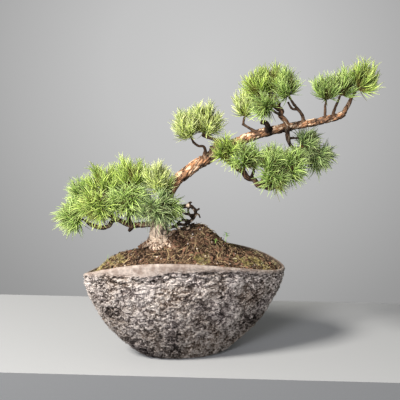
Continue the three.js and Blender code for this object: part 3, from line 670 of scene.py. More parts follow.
@dataclass
class Spray:
    """A tuft of needles at the end of a twig."""

    name: str
    foot: tuple[float, float, float, float]  # where the twig starts inside the wood, with its radius
    middle: tuple[float, float, float]
    half: tuple[float, float, float]  # half sizes of the outline, with the needles
    shoots: int  # of the plain solid; the finished spray has more
    look: Foliage
    droop: float = 0.15
    needle_length: float = 21
    depth_share: float = 0.95
    below: float = 0.25

    @property
    def inner(self) -> np.ndarray:
        """Half sizes of the surface that the shoots end on."""
        return np.maximum(np.array(self.half) - 0.64 * self.needle_length, 8)

    @property
    def twig(self) -> list[tuple[float, float, float, float]]:
        """The twig's centre line.

        Returns:
            Rows of (x, y, z, radius), from inside the wood to the lower part of the spray.
        """
        foot, centre = np.array(self.foot[:3], float), np.array(self.middle, float)
        distance = np.linalg.norm(centre - foot)
        depth = max(self.depth_share * self.inner.mean(), 9)
        end = foot + (centre - foot) * max(distance - depth, 7) / distance
        bow = (foot + end) / 2 - np.array([0, 0, 0.06 * np.linalg.norm(end - foot)])
        return [self.foot, (*bow, self.foot[3] * 0.4 + 1.4 * 0.6), (*end, 1.4)]

    def shoot_lines(self, density: float, seed: int) -> tuple[np.ndarray, list, list]:
        """Lays out the shoots: an outer set on the outline, and a sparser, older set inside it.

        Args:
            density: number of shoots for each one of the plain solid.
            seed: for the small differences between shoots.

        Returns:
            The points of all shoots, the edges between them, and each point's age from 0 to 1, which also
            darkens the inner shoots as painted shade.
        """
        rng = np.random.default_rng(seed)
        line = CentreLine(self.twig)
        knot = line.places[-1] + line.end_heading * 1.0
        centre = np.array(self.middle, float)
        axis = (centre - knot) / np.linalg.norm(centre - knot)
        turn = np.array(Vector((0, 0, 1)).rotation_difference(Vector(axis)).to_matrix())
        outer = round(self.shoots * density)
        points, edges, ages_and_shade = [], [], []
        for layer, (count, reach, age) in enumerate(((outer, 1.0, 0.0), (round(outer * 0.45), 0.55, 0.8))):
            for i in range(count):
                height = 1 - (1 + self.below + 0.15 * layer) * (i + 0.3) / (count - 0.4)
                flat = math.sqrt(max(1 - height * height, 0))
                angle = GOLDEN_ANGLE * i + len(self.name) + 2.1 * layer + rng.normal(0, 0.25)
                outward = turn @ np.array([flat * math.cos(angle), flat * math.sin(angle), height])
                away = outward * (self.inner + 3) * reach * rng.uniform(0.72, 1.14)
                tip = centre + away + rng.normal(0, 1.5, 3)
                if self.droop < 0:  # a spray that grows upwards has a flatter underside
                    tip[2] = max(tip[2], centre[2] - 0.45 * self.inner[2] + rng.normal(0, 1.5))
                span = np.linalg.norm(tip - knot)
                # A shoot leaves the knot sideways and turns up towards the light.
                bow = (knot + tip) / 2 - np.array([0, 0, 0.22 * span]) + rng.normal(0, 1.5, 3)
                share = np.linspace(0, 1, 9)[:, None]
                curve = knot * (1 - share) ** 2 + 2 * bow * share * (1 - share) + tip * share**2
                edges += chain(len(ages_and_shade), len(curve))
                points.append(curve)
                ages_and_shade += [age] * len(curve)
        return np.vstack(points), edges, ages_and_shade


P, F, G, B, D = Foliage.PALE, Foliage.FRESH, Foliage.GREEN, Foliage.BLUISH, Foliage.DEEP
SPRAYS = [
    Spray("left_low", (-152, -13, 225, 1.9), (-168, -14, 231), (29, 29, 27), 7, G, 0.35),
    Spray("left_upper", (-120, -4, 234, 2.4), (-155, 8, 262), (27, 27, 27), 5, G, 0.1),
    Spray("left_front", (-115, -4, 231, 2.2), (-130, -36, 252), (33, 29, 27), 6, F, 0.35),
    Spray("left_top", (-110, -3, 228, 2.4), (-122, 2, 279), (33, 31, 32), 6, F, -0.15),
    Spray("left_crest", (-87, 1, 216, 2.8), (-80, 0, 288), (36, 33, 33), 7, F, -0.15),
    Spray("left_inner", (-87, 1, 216, 2.4), (-86, -34, 257), (36, 30, 29), 7, G, 0.5),
    Spray("left_back", (-115, -3, 231, 2.2), (-151, 42, 243), (33, 28, 29), 5, G, 0.2),
    Spray("left_rear", (-82, 2, 214, 2.8), (-93, 44, 254), (35, 29, 32), 5, G, 0.2),
    Spray("middle_high", (-25, -6, 252, 3), (-36, -18, 286), (27, 27, 29), 5, P, -0.1),
    Spray("middle_low", (-34, -4, 227, 3), (-42, -38, 251), (31, 29, 33), 6, B, 0.4),
    Spray("middle_right", (-31, -6, 236, 2.2), (-22, -24, 244), (22, 22, 24), 4, G, 0.3),
    Spray("upper_left", (19, -3, 347, 1.8), (8, -6, 368), (27, 27, 28), 5, P, -0.25),
    Spray("upper_right", (33, 5, 358, 2), (36, 0, 376), (32, 29, 33), 6, P, -0.25),
    Spray("upper_back", (41, 3, 356, 2), (21, 28, 373), (29, 24, 27), 3, G, -0.2),
    Spray("hanging_inner", (73, -13, 321, 2.4), (70, -26, 337), (27, 24, 29), 4, F, 0.2),
    Spray("hanging_middle", (95, -24, 304, 2.6), (100, -36, 327), (28, 26, 31), 4, G, 0.2),
    Spray("hanging_crest", (121, -30, 288, 2.4), (135, -36, 320), (27, 27, 29), 5, G, -0.1),
    Spray("hanging_end", (145, -28, 282, 2.2), (169, -26, 313), (27, 28, 31), 5, G, 0.25),
    Spray("hanging_low", (135, -30, 283, 2.2), (144, -44, 297), (25, 21, 22), 4, G, 0.3),
    Spray("hanging_back", (125, -30, 286, 2.4), (151, 4, 310), (29, 25, 27), 4, D, 0.2),
    Spray("crown_left", (95, 6, 374, 1.7), (99, 3, 399), (21, 24, 29), 4, P, -0.15),
    Spray("crown_side", (155, 4, 396, 2.6), (116, -5, 433), (25, 27, 28), 4, F, -0.2),
    Spray("crown_top", (152, 3, 408, 2.4), (137, 5, 439), (26, 28, 30), 5, F, -0.25),
    Spray("crown_right", (175, 1, 407, 2), (161, -4, 433), (23, 26, 30), 5, G, -0.25),
    Spray("crown_low", (155, 3, 392, 2.4), (131, -22, 409), (27, 24, 22), 4, G, 0.1),
    Spray("crown_back", (154, 5, 400, 2.8), (131, 38, 419), (31, 26, 29), 4, G, 0.2),
    Spray("under_near", (181, 10, 337, 2), (195, 16, 342), (24, 24, 24), 6, D, 0.25),
    Spray("under_far", (182, 11, 337, 2.2), (214, 22, 323), (25, 26, 24), 7, D, 0.3),
    Spray("tip_left", (223, 0, 404, 1.6), (225, -7, 428), (27, 26, 26), 5, G, -0.3),
    Spray("tip_middle", (240, -1, 407, 1.8), (251, 5, 434), (28, 26, 28), 4, G, -0.3),
    Spray("tip_end", (264, 2, 420, 2.4), (280, 2, 443), (28, 26, 30), 5, F, -0.3),
]


# ---- wood -------------------------------------------------------------------------------------------


@dataclass
class Wood:
    """The trunk, its roots, branches and twigs, all one piece under one bark."""

    voxel: float = 0.9  # mm, of the mesh that joins the limbs
    plate: float = 6.5  # mm, usual width of a bark plate
    plate_depth: float = 2.3  # mm, on the trunk
    thickened: float = 0.6  # mm, added to thin wood for what joining and relaxing the mesh take off
    least_radius: float = 0.95
    full_girth: float = 8  # mm, radius from which the plates have their full depth
    brushed: tuple = (200, 236)  # mm, heights between which the clean bark gives way to weathered bark
    foot_x: float = -38  # of the trunk
    scarred_above: float = 340
    limb_height: float = 367  # of the leaning limb, where the black stump stands on it
    # along x, half width and darkness of the scars round the limb
    scars: tuple = ((138, 2.6, 1), (163, 5, 1), (177, 5, 0.7))
    # limbs whose bark is made darker, most of all close to the leaning limb, and their least darkness
    darkened: tuple = (
        ("crown_stem", 0.0), ("under_main", 0.5), ("hanging_main", 0.7), ("hanging_spur", 0.7),
        ("left_main", 0.45), ("left_loop", 0.45), ("left_hook", 0.6),
    )

    def limbs(self) -> list[list[tuple[float, float, float, float]]]:
        """Returns the centre lines of all the wood."""
        return [TRUNK, *ROOTS, *LIMBS.values(), *[spray.twig for spray in SPRAYS], *FINE_TWIGS]

    def sweep_rule(self) -> Rule:
        """Makes the rule that sweeps a round section along each line, as wide as its radius says.

        Returns:
            The rule.
        """
        rule = Rule("round_limbs", {"Sides": int, "Finish": bpy.types.Material})
        add, take = rule.add, rule.inputs
        curve = add("MeshToCurve", {"Mesh": take["Geometry"]})
        radius = add("InputNamedAttribute", {"Name": "radius"})
        section = add("CurvePrimitiveCircle", {"Resolution": take["Sides"], "Radius": 1.0})
        tube = {"Curve": curve, "Profile Curve": section, "Scale": radius, "Fill Caps": True}
        rule.end(add("CurveToMesh", tube), take["Finish"])
        return rule

    def bark_rule(self) -> Rule:
        """Makes the rule that raises bark plates, cut by cracks, out of the smooth wood.

        Returns:
            The rule.
        """
        rule = Rule("bark_plates", {
            "Plate Width": float, "Depth": float, "Full Girth": float, "Finish": bpy.types.Material,
        })
        add, take = rule.add, rule.inputs
        grain = add("InputNamedAttribute", {"Name": "grain"}, data_type="FLOAT_VECTOR")
        girth = add("InputNamedAttribute", {"Name": "girth"})
        scale = add("Math", {0: 1.0, 1: take["Plate Width"]}, operation="DIVIDE")
        warp = add("TexNoise", {"Vector": grain, "Scale": 180.0, "Detail": 3.0})
        bent = {0: warp.outputs["Color"], 1: (0.004,) * 3, 2: grain}
        warped = add("VectorMath", bent, operation="MULTIPLY_ADD")
        cells = add("TexVoronoi", {"Vector": warped, "Scale": scale}, feature="F1")
        edges = add("TexVoronoi", {"Vector": warped, "Scale": scale}, feature="DISTANCE_TO_EDGE")
        split = add("SeparateColor", {0: cells.outputs["Color"]})
        plateau = add("MapRange", {0: edges, 1: 0.02, 2: 0.16, 3: 0.0, 4: 0.62})
        rough = add("TexNoise", {"Vector": grain, "Scale": 420.0, "Detail": 4.0, "Roughness": 0.7})
        tall = add("Math", {0: split, 1: 0.45, 2: plateau}, operation="MULTIPLY_ADD")
        relief = add("Math", {0: rough, 1: 0.5, 2: tall}, operation="MULTIPLY_ADD")
        share = add("MapRange", {0: girth, 1: 0.001, 2: take["Full Girth"], 3: 0.18, 4: 1.0})
        height = rule.height(relief, 0.85, share, take["Depth"])
        push = add("VectorMath", {0: add("InputNormal"), "Scale": height}, operation="SCALE")
        tint = {"Geometry": take["Geometry"], "Name": "plate", "Value": split.outputs[1]}
        tinted = add("StoreNamedAttribute", tint)
        marked = add("StoreNamedAttribute", {"Geometry": tinted, "Name": "relief", "Value": relief})
        moved = add("SetPosition", {"Geometry": marked, "Offset": push})
        rule.end(moved, take["Finish"])
        return rule

    def mark_grain(self, mesh: bpy.types.Mesh) -> None:
        """Stores, for each point, its place in its limb's own grain, the limb's radius and how it faces down.

        Args:
            mesh: the joined wood.
        """
        lines = [CentreLine(points) for points in self.limbs()]
        places = np.vstack([line.places for line in lines])
        radii = np.concatenate([line.radii for line in lines])
        tangents = np.vstack([line.tangents for line in lines])
        runs = np.concatenate([line.run + 137.0 * i for i, line in enumerate(lines)])
        tree = KDTree(len(places))
        for i, place in enumerate(places):
            tree.insert(place, i)
        tree.balance()
        points = points_of(mesh)
        nearest = np.array([
            min(tree.find_n(point, 6), key=lambda found: found[2] - radii[found[1]])[1] for point in points
        ])
        away = points - places[nearest]
        along = (away * tangents[nearest]).sum(1)
        across = away - along[:, None] * tangents[nearest]
        run = runs[nearest] + along
        # The plates are about twice as long as wide, so the grain runs at half speed along the limb.
        grain = np.column_stack([across[:, 0] + 0.5 * run, across[:, 1], across[:, 2]])
        mark(mesh, "grain", grain * MM)
        mark(mesh, "girth", radii[nearest] * MM)
        facing = np.empty(len(points) * 3, np.float32)
        mesh.vertex_normals.foreach_get("vector", facing)
        mark(mesh, "under", np.maximum(-facing.reshape(-1, 3)[:, 2], 0))
        owner = np.concatenate([np.full(len(line.run), i) for i, line in enumerate(lines)])[nearest]
        self.mark_age(mesh, points, owner)

    def mark_age(self, mesh: bpy.types.Mesh, points: np.ndarray, owner: np.ndarray) -> None:
        """Stores, for each point, how clean and how black the bark is.

        Args:
            mesh: the joined wood.
            points: its points in millimetres.
            owner: the number of each point's limb.
        """
        x, y, height = points.T
        names = ["trunk"] * (1 + len(ROOTS)) + list(LIMBS)
        names += ["twig"] * len(SPRAYS) + ["dead"] * len(FINE_TWIGS)
        wave = 6 * np.sin(x / 5) + 4 * np.sin(y / 3 + 1)
        clean = (1 - smooth(*self.brushed, height + wave)) * (1 - smooth(18, 30, np.abs(x - self.foot_x)))
        # Dark scars run round the limb, and the cut stump beside them has gone black.
        bend = x + 1.2 * np.sin(height / 2)
        scars = sum(dark * np.exp(-(((bend - middle) / half) ** 4)) for middle, half, dark in self.scars)
        black = np.where((owner == 0) & (height > self.scarred_above), 0.85 * scars, 0)
        black = np.where(owner == names.index("crown_stump"), 1, black)
        near = 0.85 - 0.85 * smooth(2, 9, np.abs(height - self.limb_height))
        for limb, dark in self.darkened:
            black = np.where(owner == names.index(limb), np.maximum(dark, near), black)
        # Dead wood has gone black, with pale grey crusts of lichen.
        dead = np.isin(owner, [i for i, name in enumerate(names) if name.startswith("dead")])
        lichen = smooth(0.15, 0.6, np.sin(x / 2.3 + 1) * np.sin(height / 2.9))
        mark(mesh, "clean", np.where(dead, np.maximum(clean, 0.8 * lichen), clean))
        mark(mesh, "black", np.clip(np.where(dead, 0.8 * (1 - lichen), black), 0, 0.9))

    def build(self) -> bpy.types.Object:
        """Makes the wood.

        Returns:
            The finished piece.
        """
        sweeps = [CentreLine(limb, 2.0) for limb in self.limbs()]
        starts = np.cumsum([0] + [len(line.run) for line in sweeps])
        edges = [edge for start, line in zip(starts.tolist(), sweeps) for edge in chain(start, len(line.run))]
        lines = mesh_of("limb_lines", np.vstack([line.places for line in sweeps]), [], edges)
        radii = np.concatenate([line.radii for line in sweeps])
        radii = np.maximum(radii, self.least_radius) + self.thickened * np.exp(-radii / 3)
        mark(lines, "radius", radii * MM)
        bark = Bark("pine_bark").material()
        joined = self.sweep_rule().run("joined_limbs", lines, Sides=14, Finish=bark)
        remesh = joined.modifiers.new("join", "REMESH")
        remesh.mode, remesh.voxel_size = "VOXEL", self.voxel * MM
        relax = joined.modifiers.new("relax", "SMOOTH")
        relax.iterations, relax.factor = 2, 0.5
        settle(joined)
        self.mark_grain(joined.data)
        wood = self.bark_rule().run(
            "wood_with_bark", joined.data, Plate_Width=self.plate * MM, Depth=self.plate_depth * MM,
            Full_Girth=self.full_girth * MM, Finish=bark,
        )
        bpy.data.objects.remove(joined)
        wood.data.shade_smooth()
        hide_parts("wood")
        return wood


# ---- foliage ----------------------------------------------------------------------------------------


@dataclass
class Needles:
    """All the sprays of needles, made by one rule."""

    density: float = 2.3  # shoots for each shoot of the plain solid
    radius: float = 0.72  # mm, half a needle's width
    needled: float = 15  # mm, length of a shoot's outer part that carries needles
    spacing: float = 0.44  # mm along a shoot from one needle to the next
    spread: float = 0.22  # share by which lengths differ
    stem_radius: float = 0.8
    low_tilt: float = math.radians(52)  # from the shoot, where the needled part starts
    high_tilt: float = math.radians(10)  # at the shoot's tip
    bend: float = 0.28  # share of its length by which the middle kind of needle bends
    droop_bend: float = 0.6  # added for each unit of droop
    first_seed: int = 11  # of the shoots' layout

    def rule(self) -> Rule:
        """Makes the rule that grows needles round the outer part of each shoot, a golden angle apart.

        Returns:
            The rule.
        """
        rule = Rule("needles_on_shoots", {
            "Needle Length": float, "Length Spread": float, "Needle Radius": float, "Bend": float,
            "Droop": float, "Needled Length": float, "Spacing": float, "Low Tilt": float, "High Tilt": float,
            "Stem Radius": float, "Seed": int, "Finish": bpy.types.Material,
            "Stem Finish": bpy.types.Material,
        })
        add, take = rule.add, rule.inputs
        along = add("SplineParameter").outputs["Factor"]
        needles = self.blades(rule, along)
        # The stems.
        shoots = add("MeshToCurve", {"Mesh": take["Geometry"]})
        stem_section = add("CurvePrimitiveCircle", {"Resolution": 6, "Radius": take["Stem Radius"]})
        stems = add("CurveToMesh", {"Curve": shoots, "Profile Curve": stem_section, "Fill Caps": True})
        woody = add("SetMaterial", {"Geometry": stems, "Material": take["Stem Finish"]})
        # The places that needles grow from, with their height from 0 to 1 up the needled part.
        length = add("SplineLength").outputs["Length"]
        start = add("Math", {0: length, 1: take["Needled Length"]}, operation="SUBTRACT")
        floor = add("Math", {0: length, 1: 0.15}, operation="MULTIPLY")
        first = add("Math", {0: start, 1: floor}, operation="MAXIMUM")
        outer = add("TrimCurve", {0: shoots, 4: first, 5: length}, mode="LENGTH")
        climbing = add("StoreNamedAttribute", {"Geometry": outer, "Name": "height", "Value": along})
        roots = add("CurveToPoints", {"Curve": climbing, "Length": take["Spacing"]}, mode="LENGTH")
        height = add("InputNamedAttribute", {"Name": "height"})
        # What differs between needles: least and most, with a seed of its own for each.
        least = add("Math", {0: 1.0, 1: take["Length Spread"]}, operation="SUBTRACT")
        draws = {
            "spin": (-0.4, 0.4, "FLOAT"), "lean": (-0.22, 0.22, "FLOAT"), "size": (least, 1.1, "FLOAT"),
            "tint": (0.0, 1.0, "FLOAT"), "stray": ((-0.4,) * 3, (0.4,) * 3, "FLOAT_VECTOR"),
            "kind": (0, 2, "INT"),
        }
        for number, (name, (low, high, kind)) in enumerate(draws.items()):
            seed = add("Math", {0: take["Seed"], 1: 100.0 * number}, operation="ADD")
            at = {"FLOAT_VECTOR": 0, "FLOAT": 2, "INT": 4}[kind]
            draws[name] = add("RandomValue", {at: low, at + 1: high, 8: seed}, data_type=kind)
        golden = {0: add("InputIndex"), 1: GOLDEN_ANGLE, 2: draws["spin"]}
        spin = add("Math", golden, operation="MULTIPLY_ADD")
        lean = add("MapRange", {0: height, 3: take["Low Tilt"], 4: take["High Tilt"]})
        tilt = add("Math", {0: lean, 1: draws["lean"]}, operation="ADD")
        tangent, normal = roots.outputs["Tangent"], roots.outputs["Normal"]
        binormal = add("VectorMath", {0: tangent, 1: normal}, operation="CROSS_PRODUCT")
        around = self.turned(rule, normal, binormal, spin)
        heading = self.turned(rule, tangent, around, tilt)
        stand = add("AlignRotationToVector", {"Vector": heading}, axis="Z")
        # A needle bends towards its shoot's tip, and the more it droops, the more it bends down instead.
        down = add("VectorMath", {0: (0, 0, -1), "Scale": take["Droop"]}, operation="SCALE")
        closing = add("Math", {0: 0.35, 1: take["Droop"]}, operation="SUBTRACT")
        closed = add("VectorMath", {0: tangent, "Scale": closing}, operation="SCALE")
        aim = add("VectorMath", {0: down, 1: closed}, operation="ADD")
        pull = add("VectorMath", {0: aim, 1: draws["stray"]}, operation="ADD")
        pose = add("AlignRotationToVector", {"Rotation": stand, "Vector": pull}, axis="X", pivot_axis="Z")
        placed = add("InstanceOnPoints", {
            "Points": roots.outputs["Points"], "Instance": needles, "Pick Instance": True,
            "Instance Index": draws["kind"], "Rotation": pose, "Scale": draws["size"],
        })
        tint = {"Geometry": placed, "Name": "tint", "Value": draws["tint"]}
        tinted = add("StoreNamedAttribute", tint, domain="INSTANCE")
        real = add("RealizeInstances", {0: tinted})
        both = add("JoinGeometry", {0: woody})
        fill(both, {0: add("SetMaterial", {"Geometry": real, "Material": take["Finish"]})})
        rule.end(add("SetShadeSmooth", {0: both}), None)
        return rule

    def blades(self, rule: Rule, along: bpy.types.NodeSocket) -> bpy.types.Node:
        """Makes three kinds of needle, from nearly straight to well curved.

        Args:
            rule: whose tree gets the nodes.
            along: the socket that gives how far along its line a point is.

        Returns:
            The node that joins the three. Each is an instance that stands on +Z and bends towards +X.
        """
        add, take = rule.add, rule.inputs
        half = add("Math", {0: take["Needle Length"], 1: 0.5}, operation="MULTIPLY")
        middle = add("CombineXYZ", {"Z": half})
        taper = add("MapRange", {0: along, 1: 0.4, 2: 1.0, 3: 1.0, 4: 0.22})
        width = add("Math", {0: taper, 1: take["Needle Radius"]}, operation="MULTIPLY")
        section = add("CurvePrimitiveCircle", {"Resolution": 3, "Radius": 1.0})
        needles = add("JoinGeometry")
        for share in (0.3, 1.0, 1.7):
            bend = add("Math", {0: take["Bend"], 1: share}, operation="MULTIPLY")
            side = add("Math", {0: take["Needle Length"], 1: bend}, operation="MULTIPLY")
            end = add("CombineXYZ", {"X": side, "Z": take["Needle Length"]})
            arc = {"Resolution": 3, "Start": (0, 0, 0), "Middle": middle, "End": end}
            line = add("CurveQuadraticBezier", arc)
            named = add("StoreNamedAttribute", {"Geometry": line, "Name": "along", "Value": along})
            blade = {"Curve": named, "Profile Curve": section, "Scale": width, "Fill Caps": True}
            needle = add("CurveToMesh", blade)
            fill(needles, {0: add("GeometryToInstance", {0: needle})})
        return needles

    def turned(self, rule: Rule, start: object, end: object, angle: object) -> bpy.types.Node:
        """Turns one direction towards another, at right angles to it.

        Args:
            rule: whose tree gets the nodes.
            start: the direction at an angle of 0.
            end: the direction at a quarter turn.
            angle: in radians.

        Returns:
            The node that gives the turned direction.
        """
        parts = {}
        for number, (vector, trig) in enumerate(((start, "COSINE"), (end, "SINE"))):
            share = rule.add("Math", {0: angle}, operation=trig)
            parts[number] = rule.add("VectorMath", {0: vector, "Scale": share}, operation="SCALE")
        return rule.add("VectorMath", parts, operation="ADD")

    def build(self) -> list[bpy.types.Object]:
        """Makes every spray.

        Returns:
            The finished pieces.
        """
        rule = self.rule()
        looks = {look: look.value.material() for look in Foliage}
        stem = Litter("green_shoot_bark", "#7a5a36", "#a58a52").material()
        pieces = []
        for number, spray in enumerate(SPRAYS):
            points, edges, ages_and_shade = spray.shoot_lines(self.density, self.first_seed + number)
            lines = mesh_of("shoot_lines", points, [], edges)
            mark(lines, "age", ages_and_shade)
            piece = rule.run(
                f"spray_{spray.name}", lines, Needle_Length=spray.needle_length * MM,
                Length_Spread=self.spread, Needle_Radius=self.radius * MM,
                Bend=self.bend + self.droop_bend * abs(spray.droop), Droop=spray.droop,
                Needled_Length=self.needled * MM, Spacing=self.spacing * MM,
                Low_Tilt=self.low_tilt, High_Tilt=self.high_tilt, Stem_Radius=self.stem_radius * MM,
                Seed=number, Finish=looks[spray.look], Stem_Finish=stem,
            )
            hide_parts(f"needles_{spray.name}")
            pieces.append(piece)
        return pieces


@dataclass
class Sprout:
    """A tiny plant that has come up by itself in the soil: a thin stem with narrow leaves."""

    name: str
    place: tuple[float, float]
    height: float  # mm
    leaves: int
    leaf: float  # mm, length of a leaf
    width: float  # mm, of a leaf

    def build(self, ground: float, finish: bpy.types.Material) -> bpy.types.Object:
        """Makes the plant.

        Args:
            ground: height of the soil in millimetres.
            finish: its material.

        Returns:
            The finished piece.
        """
        foot, up = np.array([*self.place, ground - 1]), np.array([0.12, 0.0, 1.0])
        blades = [(foot, up * (self.height + 1), 1.2)]
        for i in range(self.leaves):
            turn, share = GOLDEN_ANGLE * i + 0.4, 0.6 + 0.4 * i / max(self.leaves - 1, 1)
            way = np.array([math.cos(turn), math.sin(turn), 0.55])
            reach = way * self.leaf * (1.2 - 0.4 * share)
            blades.append((foot + up * self.height * share, reach, self.width))
        points, faces, tints = [], [], []
        for start, reach, width in blades:
            side = np.cross(reach, (0.3, 0.2, 1.0))
            side *= width / 2 / np.linalg.norm(side)
            flat = np.cross(side, reach)
            flat *= 0.25 / np.linalg.norm(flat)
            first, middle = len(points), start + reach * 0.45
            points += [start, middle + side, middle + flat, middle - side, middle - flat, start + reach]
            for a, b in ((1, 2), (2, 3), (3, 4), (4, 1)):
                faces += [(first, first + b, first + a), (first + 5, first + a, first + b)]
            tints += [0.5 + 0.4 * math.sin(len(tints))] * 6
        piece = bpy.data.objects.new(self.name, mesh_of(self.name, points, faces))
        mark(piece.data, "tint", tints)
        piece.data.materials.append(finish)
        bpy.context.scene.collection.objects.link(piece)
        return piece


# ---- pot --------------------------------------------------------------------------------------------


@dataclass
class PotForm:
    """The pot's shape: an oval whose ends are drawn out and whose long sides rise."""

    half_length: float = 164
    half_depth: float = 82
    wall: float = 11
    floor: float = 12
    yaw: float = math.radians(10)
    shift: float = 4
    end_height: float = 141
    side_rise: float = 24
    twist_rise: float = 8
    back_rise: float = -0.5
    # bearing, spread and height of the rim's small swells and dips
    swells: tuple = ((-1.48, 0.95, 3.6), (0.45, 0.75, -2.8))
    lip_height: float = 4
    lip_fall: float = 13.5  # how much further down the lip reaches at its widest
    lip_bearing: float = math.radians(244)
    lip_spread: float = math.radians(33)
    least_lip: float = 2.4
    lip_step: float = 1.6
    roughness: float = 3
    coarse_segments: int = 44
    coarse_rings: int = 9
    # share of the rim's half length and half depth, and of its height, up the outer and the inner wall
    profile: tuple = (
        (0.325, 0), (0.38, 0.012), (0.465, 0.07), (0.6, 0.2), (0.775, 0.41), (0.92, 0.69), (0.985, 0.9)
    )
    inner: tuple = ((0.5, 0), (0.63, 0.22), (0.8, 0.42), (0.945, 0.7), (1, 1))

    def rim(self, angle: np.ndarray) -> np.ndarray:
        """Height of the rim.

        Args:
            angle: round the pot's middle.

        Returns:
            A height in millimetres for each angle.
        """
        side, rim = np.sin(angle), self.end_height + self.twist_rise * np.sin(2 * angle)
        for bearing, spread, size in self.swells:
            turn = (angle - bearing + math.pi) % (2 * math.pi) - math.pi
            rim = rim + size * np.exp(-((turn / spread) ** 4))
        return rim + self.side_rise * side**2 + self.back_rise * side

    def point(self, angle: np.ndarray, size: object, inset: object, height: np.ndarray) -> np.ndarray:
        """Finds points round the pot.

        Args:
            angle: round the pot's middle.
            size: share of the rim's half length and half depth.
            inset: taken off both, in millimetres.
            height: above the foot.

        Returns:
            One row of x, y and z for each angle.
        """
        side = np.sin(angle)
        x = (size * self.half_length - inset) * np.cos(angle)
        y = (size * self.half_depth - inset) * side * np.abs(side) ** (0.22 * np.square(size))
        c, s = math.cos(self.yaw), math.sin(self.yaw)
        height = np.broadcast_to(height, np.shape(angle))
        return np.stack([x * c - y * s + self.shift * height / self.end_height, x * s + y * c, height], -1)

    def torn(self, angle: np.ndarray, climb: object) -> np.ndarray:
        """Main lumps and hollows of the torn skin, about 20 mm apart.

        Args:
            angle: round the pot's middle.
            climb: 0 at the foot and 1 just below the lip.

        Returns:
            How far the skin stands in, in millimetres.
        """
        column = angle / (2 * math.pi) * self.coarse_segments
        row = np.broadcast_to(climb, angle.shape) * self.coarse_rings
        a, i = np.floor(column).astype(int), np.minimum(np.floor(row).astype(int), self.coarse_rings - 1)
        s, t = smooth(0, 1, column - a), smooth(0, 1, row - i)

        def draw(column: np.ndarray, row: np.ndarray) -> np.ndarray:
            """A number from 0 to 1 for each lump."""
            wave = np.sin(column % self.coarse_segments * 12.9898 + row * 78.233) * 43758.5453
            return np.where(row == 0, 0.3, wave - np.floor(wave))

        low = draw(a, i) * (1 - s) + draw(a + 1, i) * s
        high = draw(a, i + 1) * (1 - s) + draw(a + 1, i + 1) * s
        return self.lip_step - self.roughness * (low * (1 - t) + high * t - 0.3)

    def outer_profile(self, count: int) -> np.ndarray:
        """Samples the outer wall's smooth profile.

        Args:
            count: number of samples.

        Returns:
            Rows of size and rise, as in the profile.
        """
        knots = np.array(self.profile)
        last = len(knots) - 1
        rows = []
        for p in np.linspace(0, last, count):
            i = min(int(p), last - 1)
            t = p - i
            p0, p1, p2, p3 = knots[max(i - 1, 0)], knots[i], knots[i + 1], knots[min(i + 2, last)]
            v0, v1 = (p2 - p0) / 2, (p3 - p1) / 2
            cube, square = 2 * p1 - 2 * p2 + v0 + v1, 3 * p2 - 3 * p1 - 2 * v0 - v1
            rows.append(cube * t**3 + square * t**2 + v0 * t + p1)
        return np.array(rows)


def band(count: int, first: int) -> list[tuple[int, int, int, int]]:
    """Returns the faces between the ring of count points that starts at a point and the next ring."""
    pairs = ((first + k, first + (k + 1) % count) for k in range(count))
    return [(a, b, b + count, a + count) for a, b in pairs]


def ring_body(name: str, rings: list[np.ndarray]) -> bpy.types.Mesh:
    """Joins rings of points, from the bottom's middle up and over to the top's middle, into a closed body.

    Args:
        name: the mesh's name.
        rings: one array of n by 3 for each ring. The first and the last are single points.

    Returns:
        The mesh.
    """
    count = len(rings[1])
    points = np.vstack([rings[0][:1], *rings[1:-1], rings[-1][:1]])
    faces = [(0, 1 + (k + 1) % count, 1 + k) for k in range(count)]
    for i in range(len(rings) - 3):
        faces += band(count, 1 + i * count)
    top = len(points) - 1
    faces += [(top - count + k, top - count + (k + 1) % count, top) for k in range(count)]
    return mesh_of(name, points, faces)


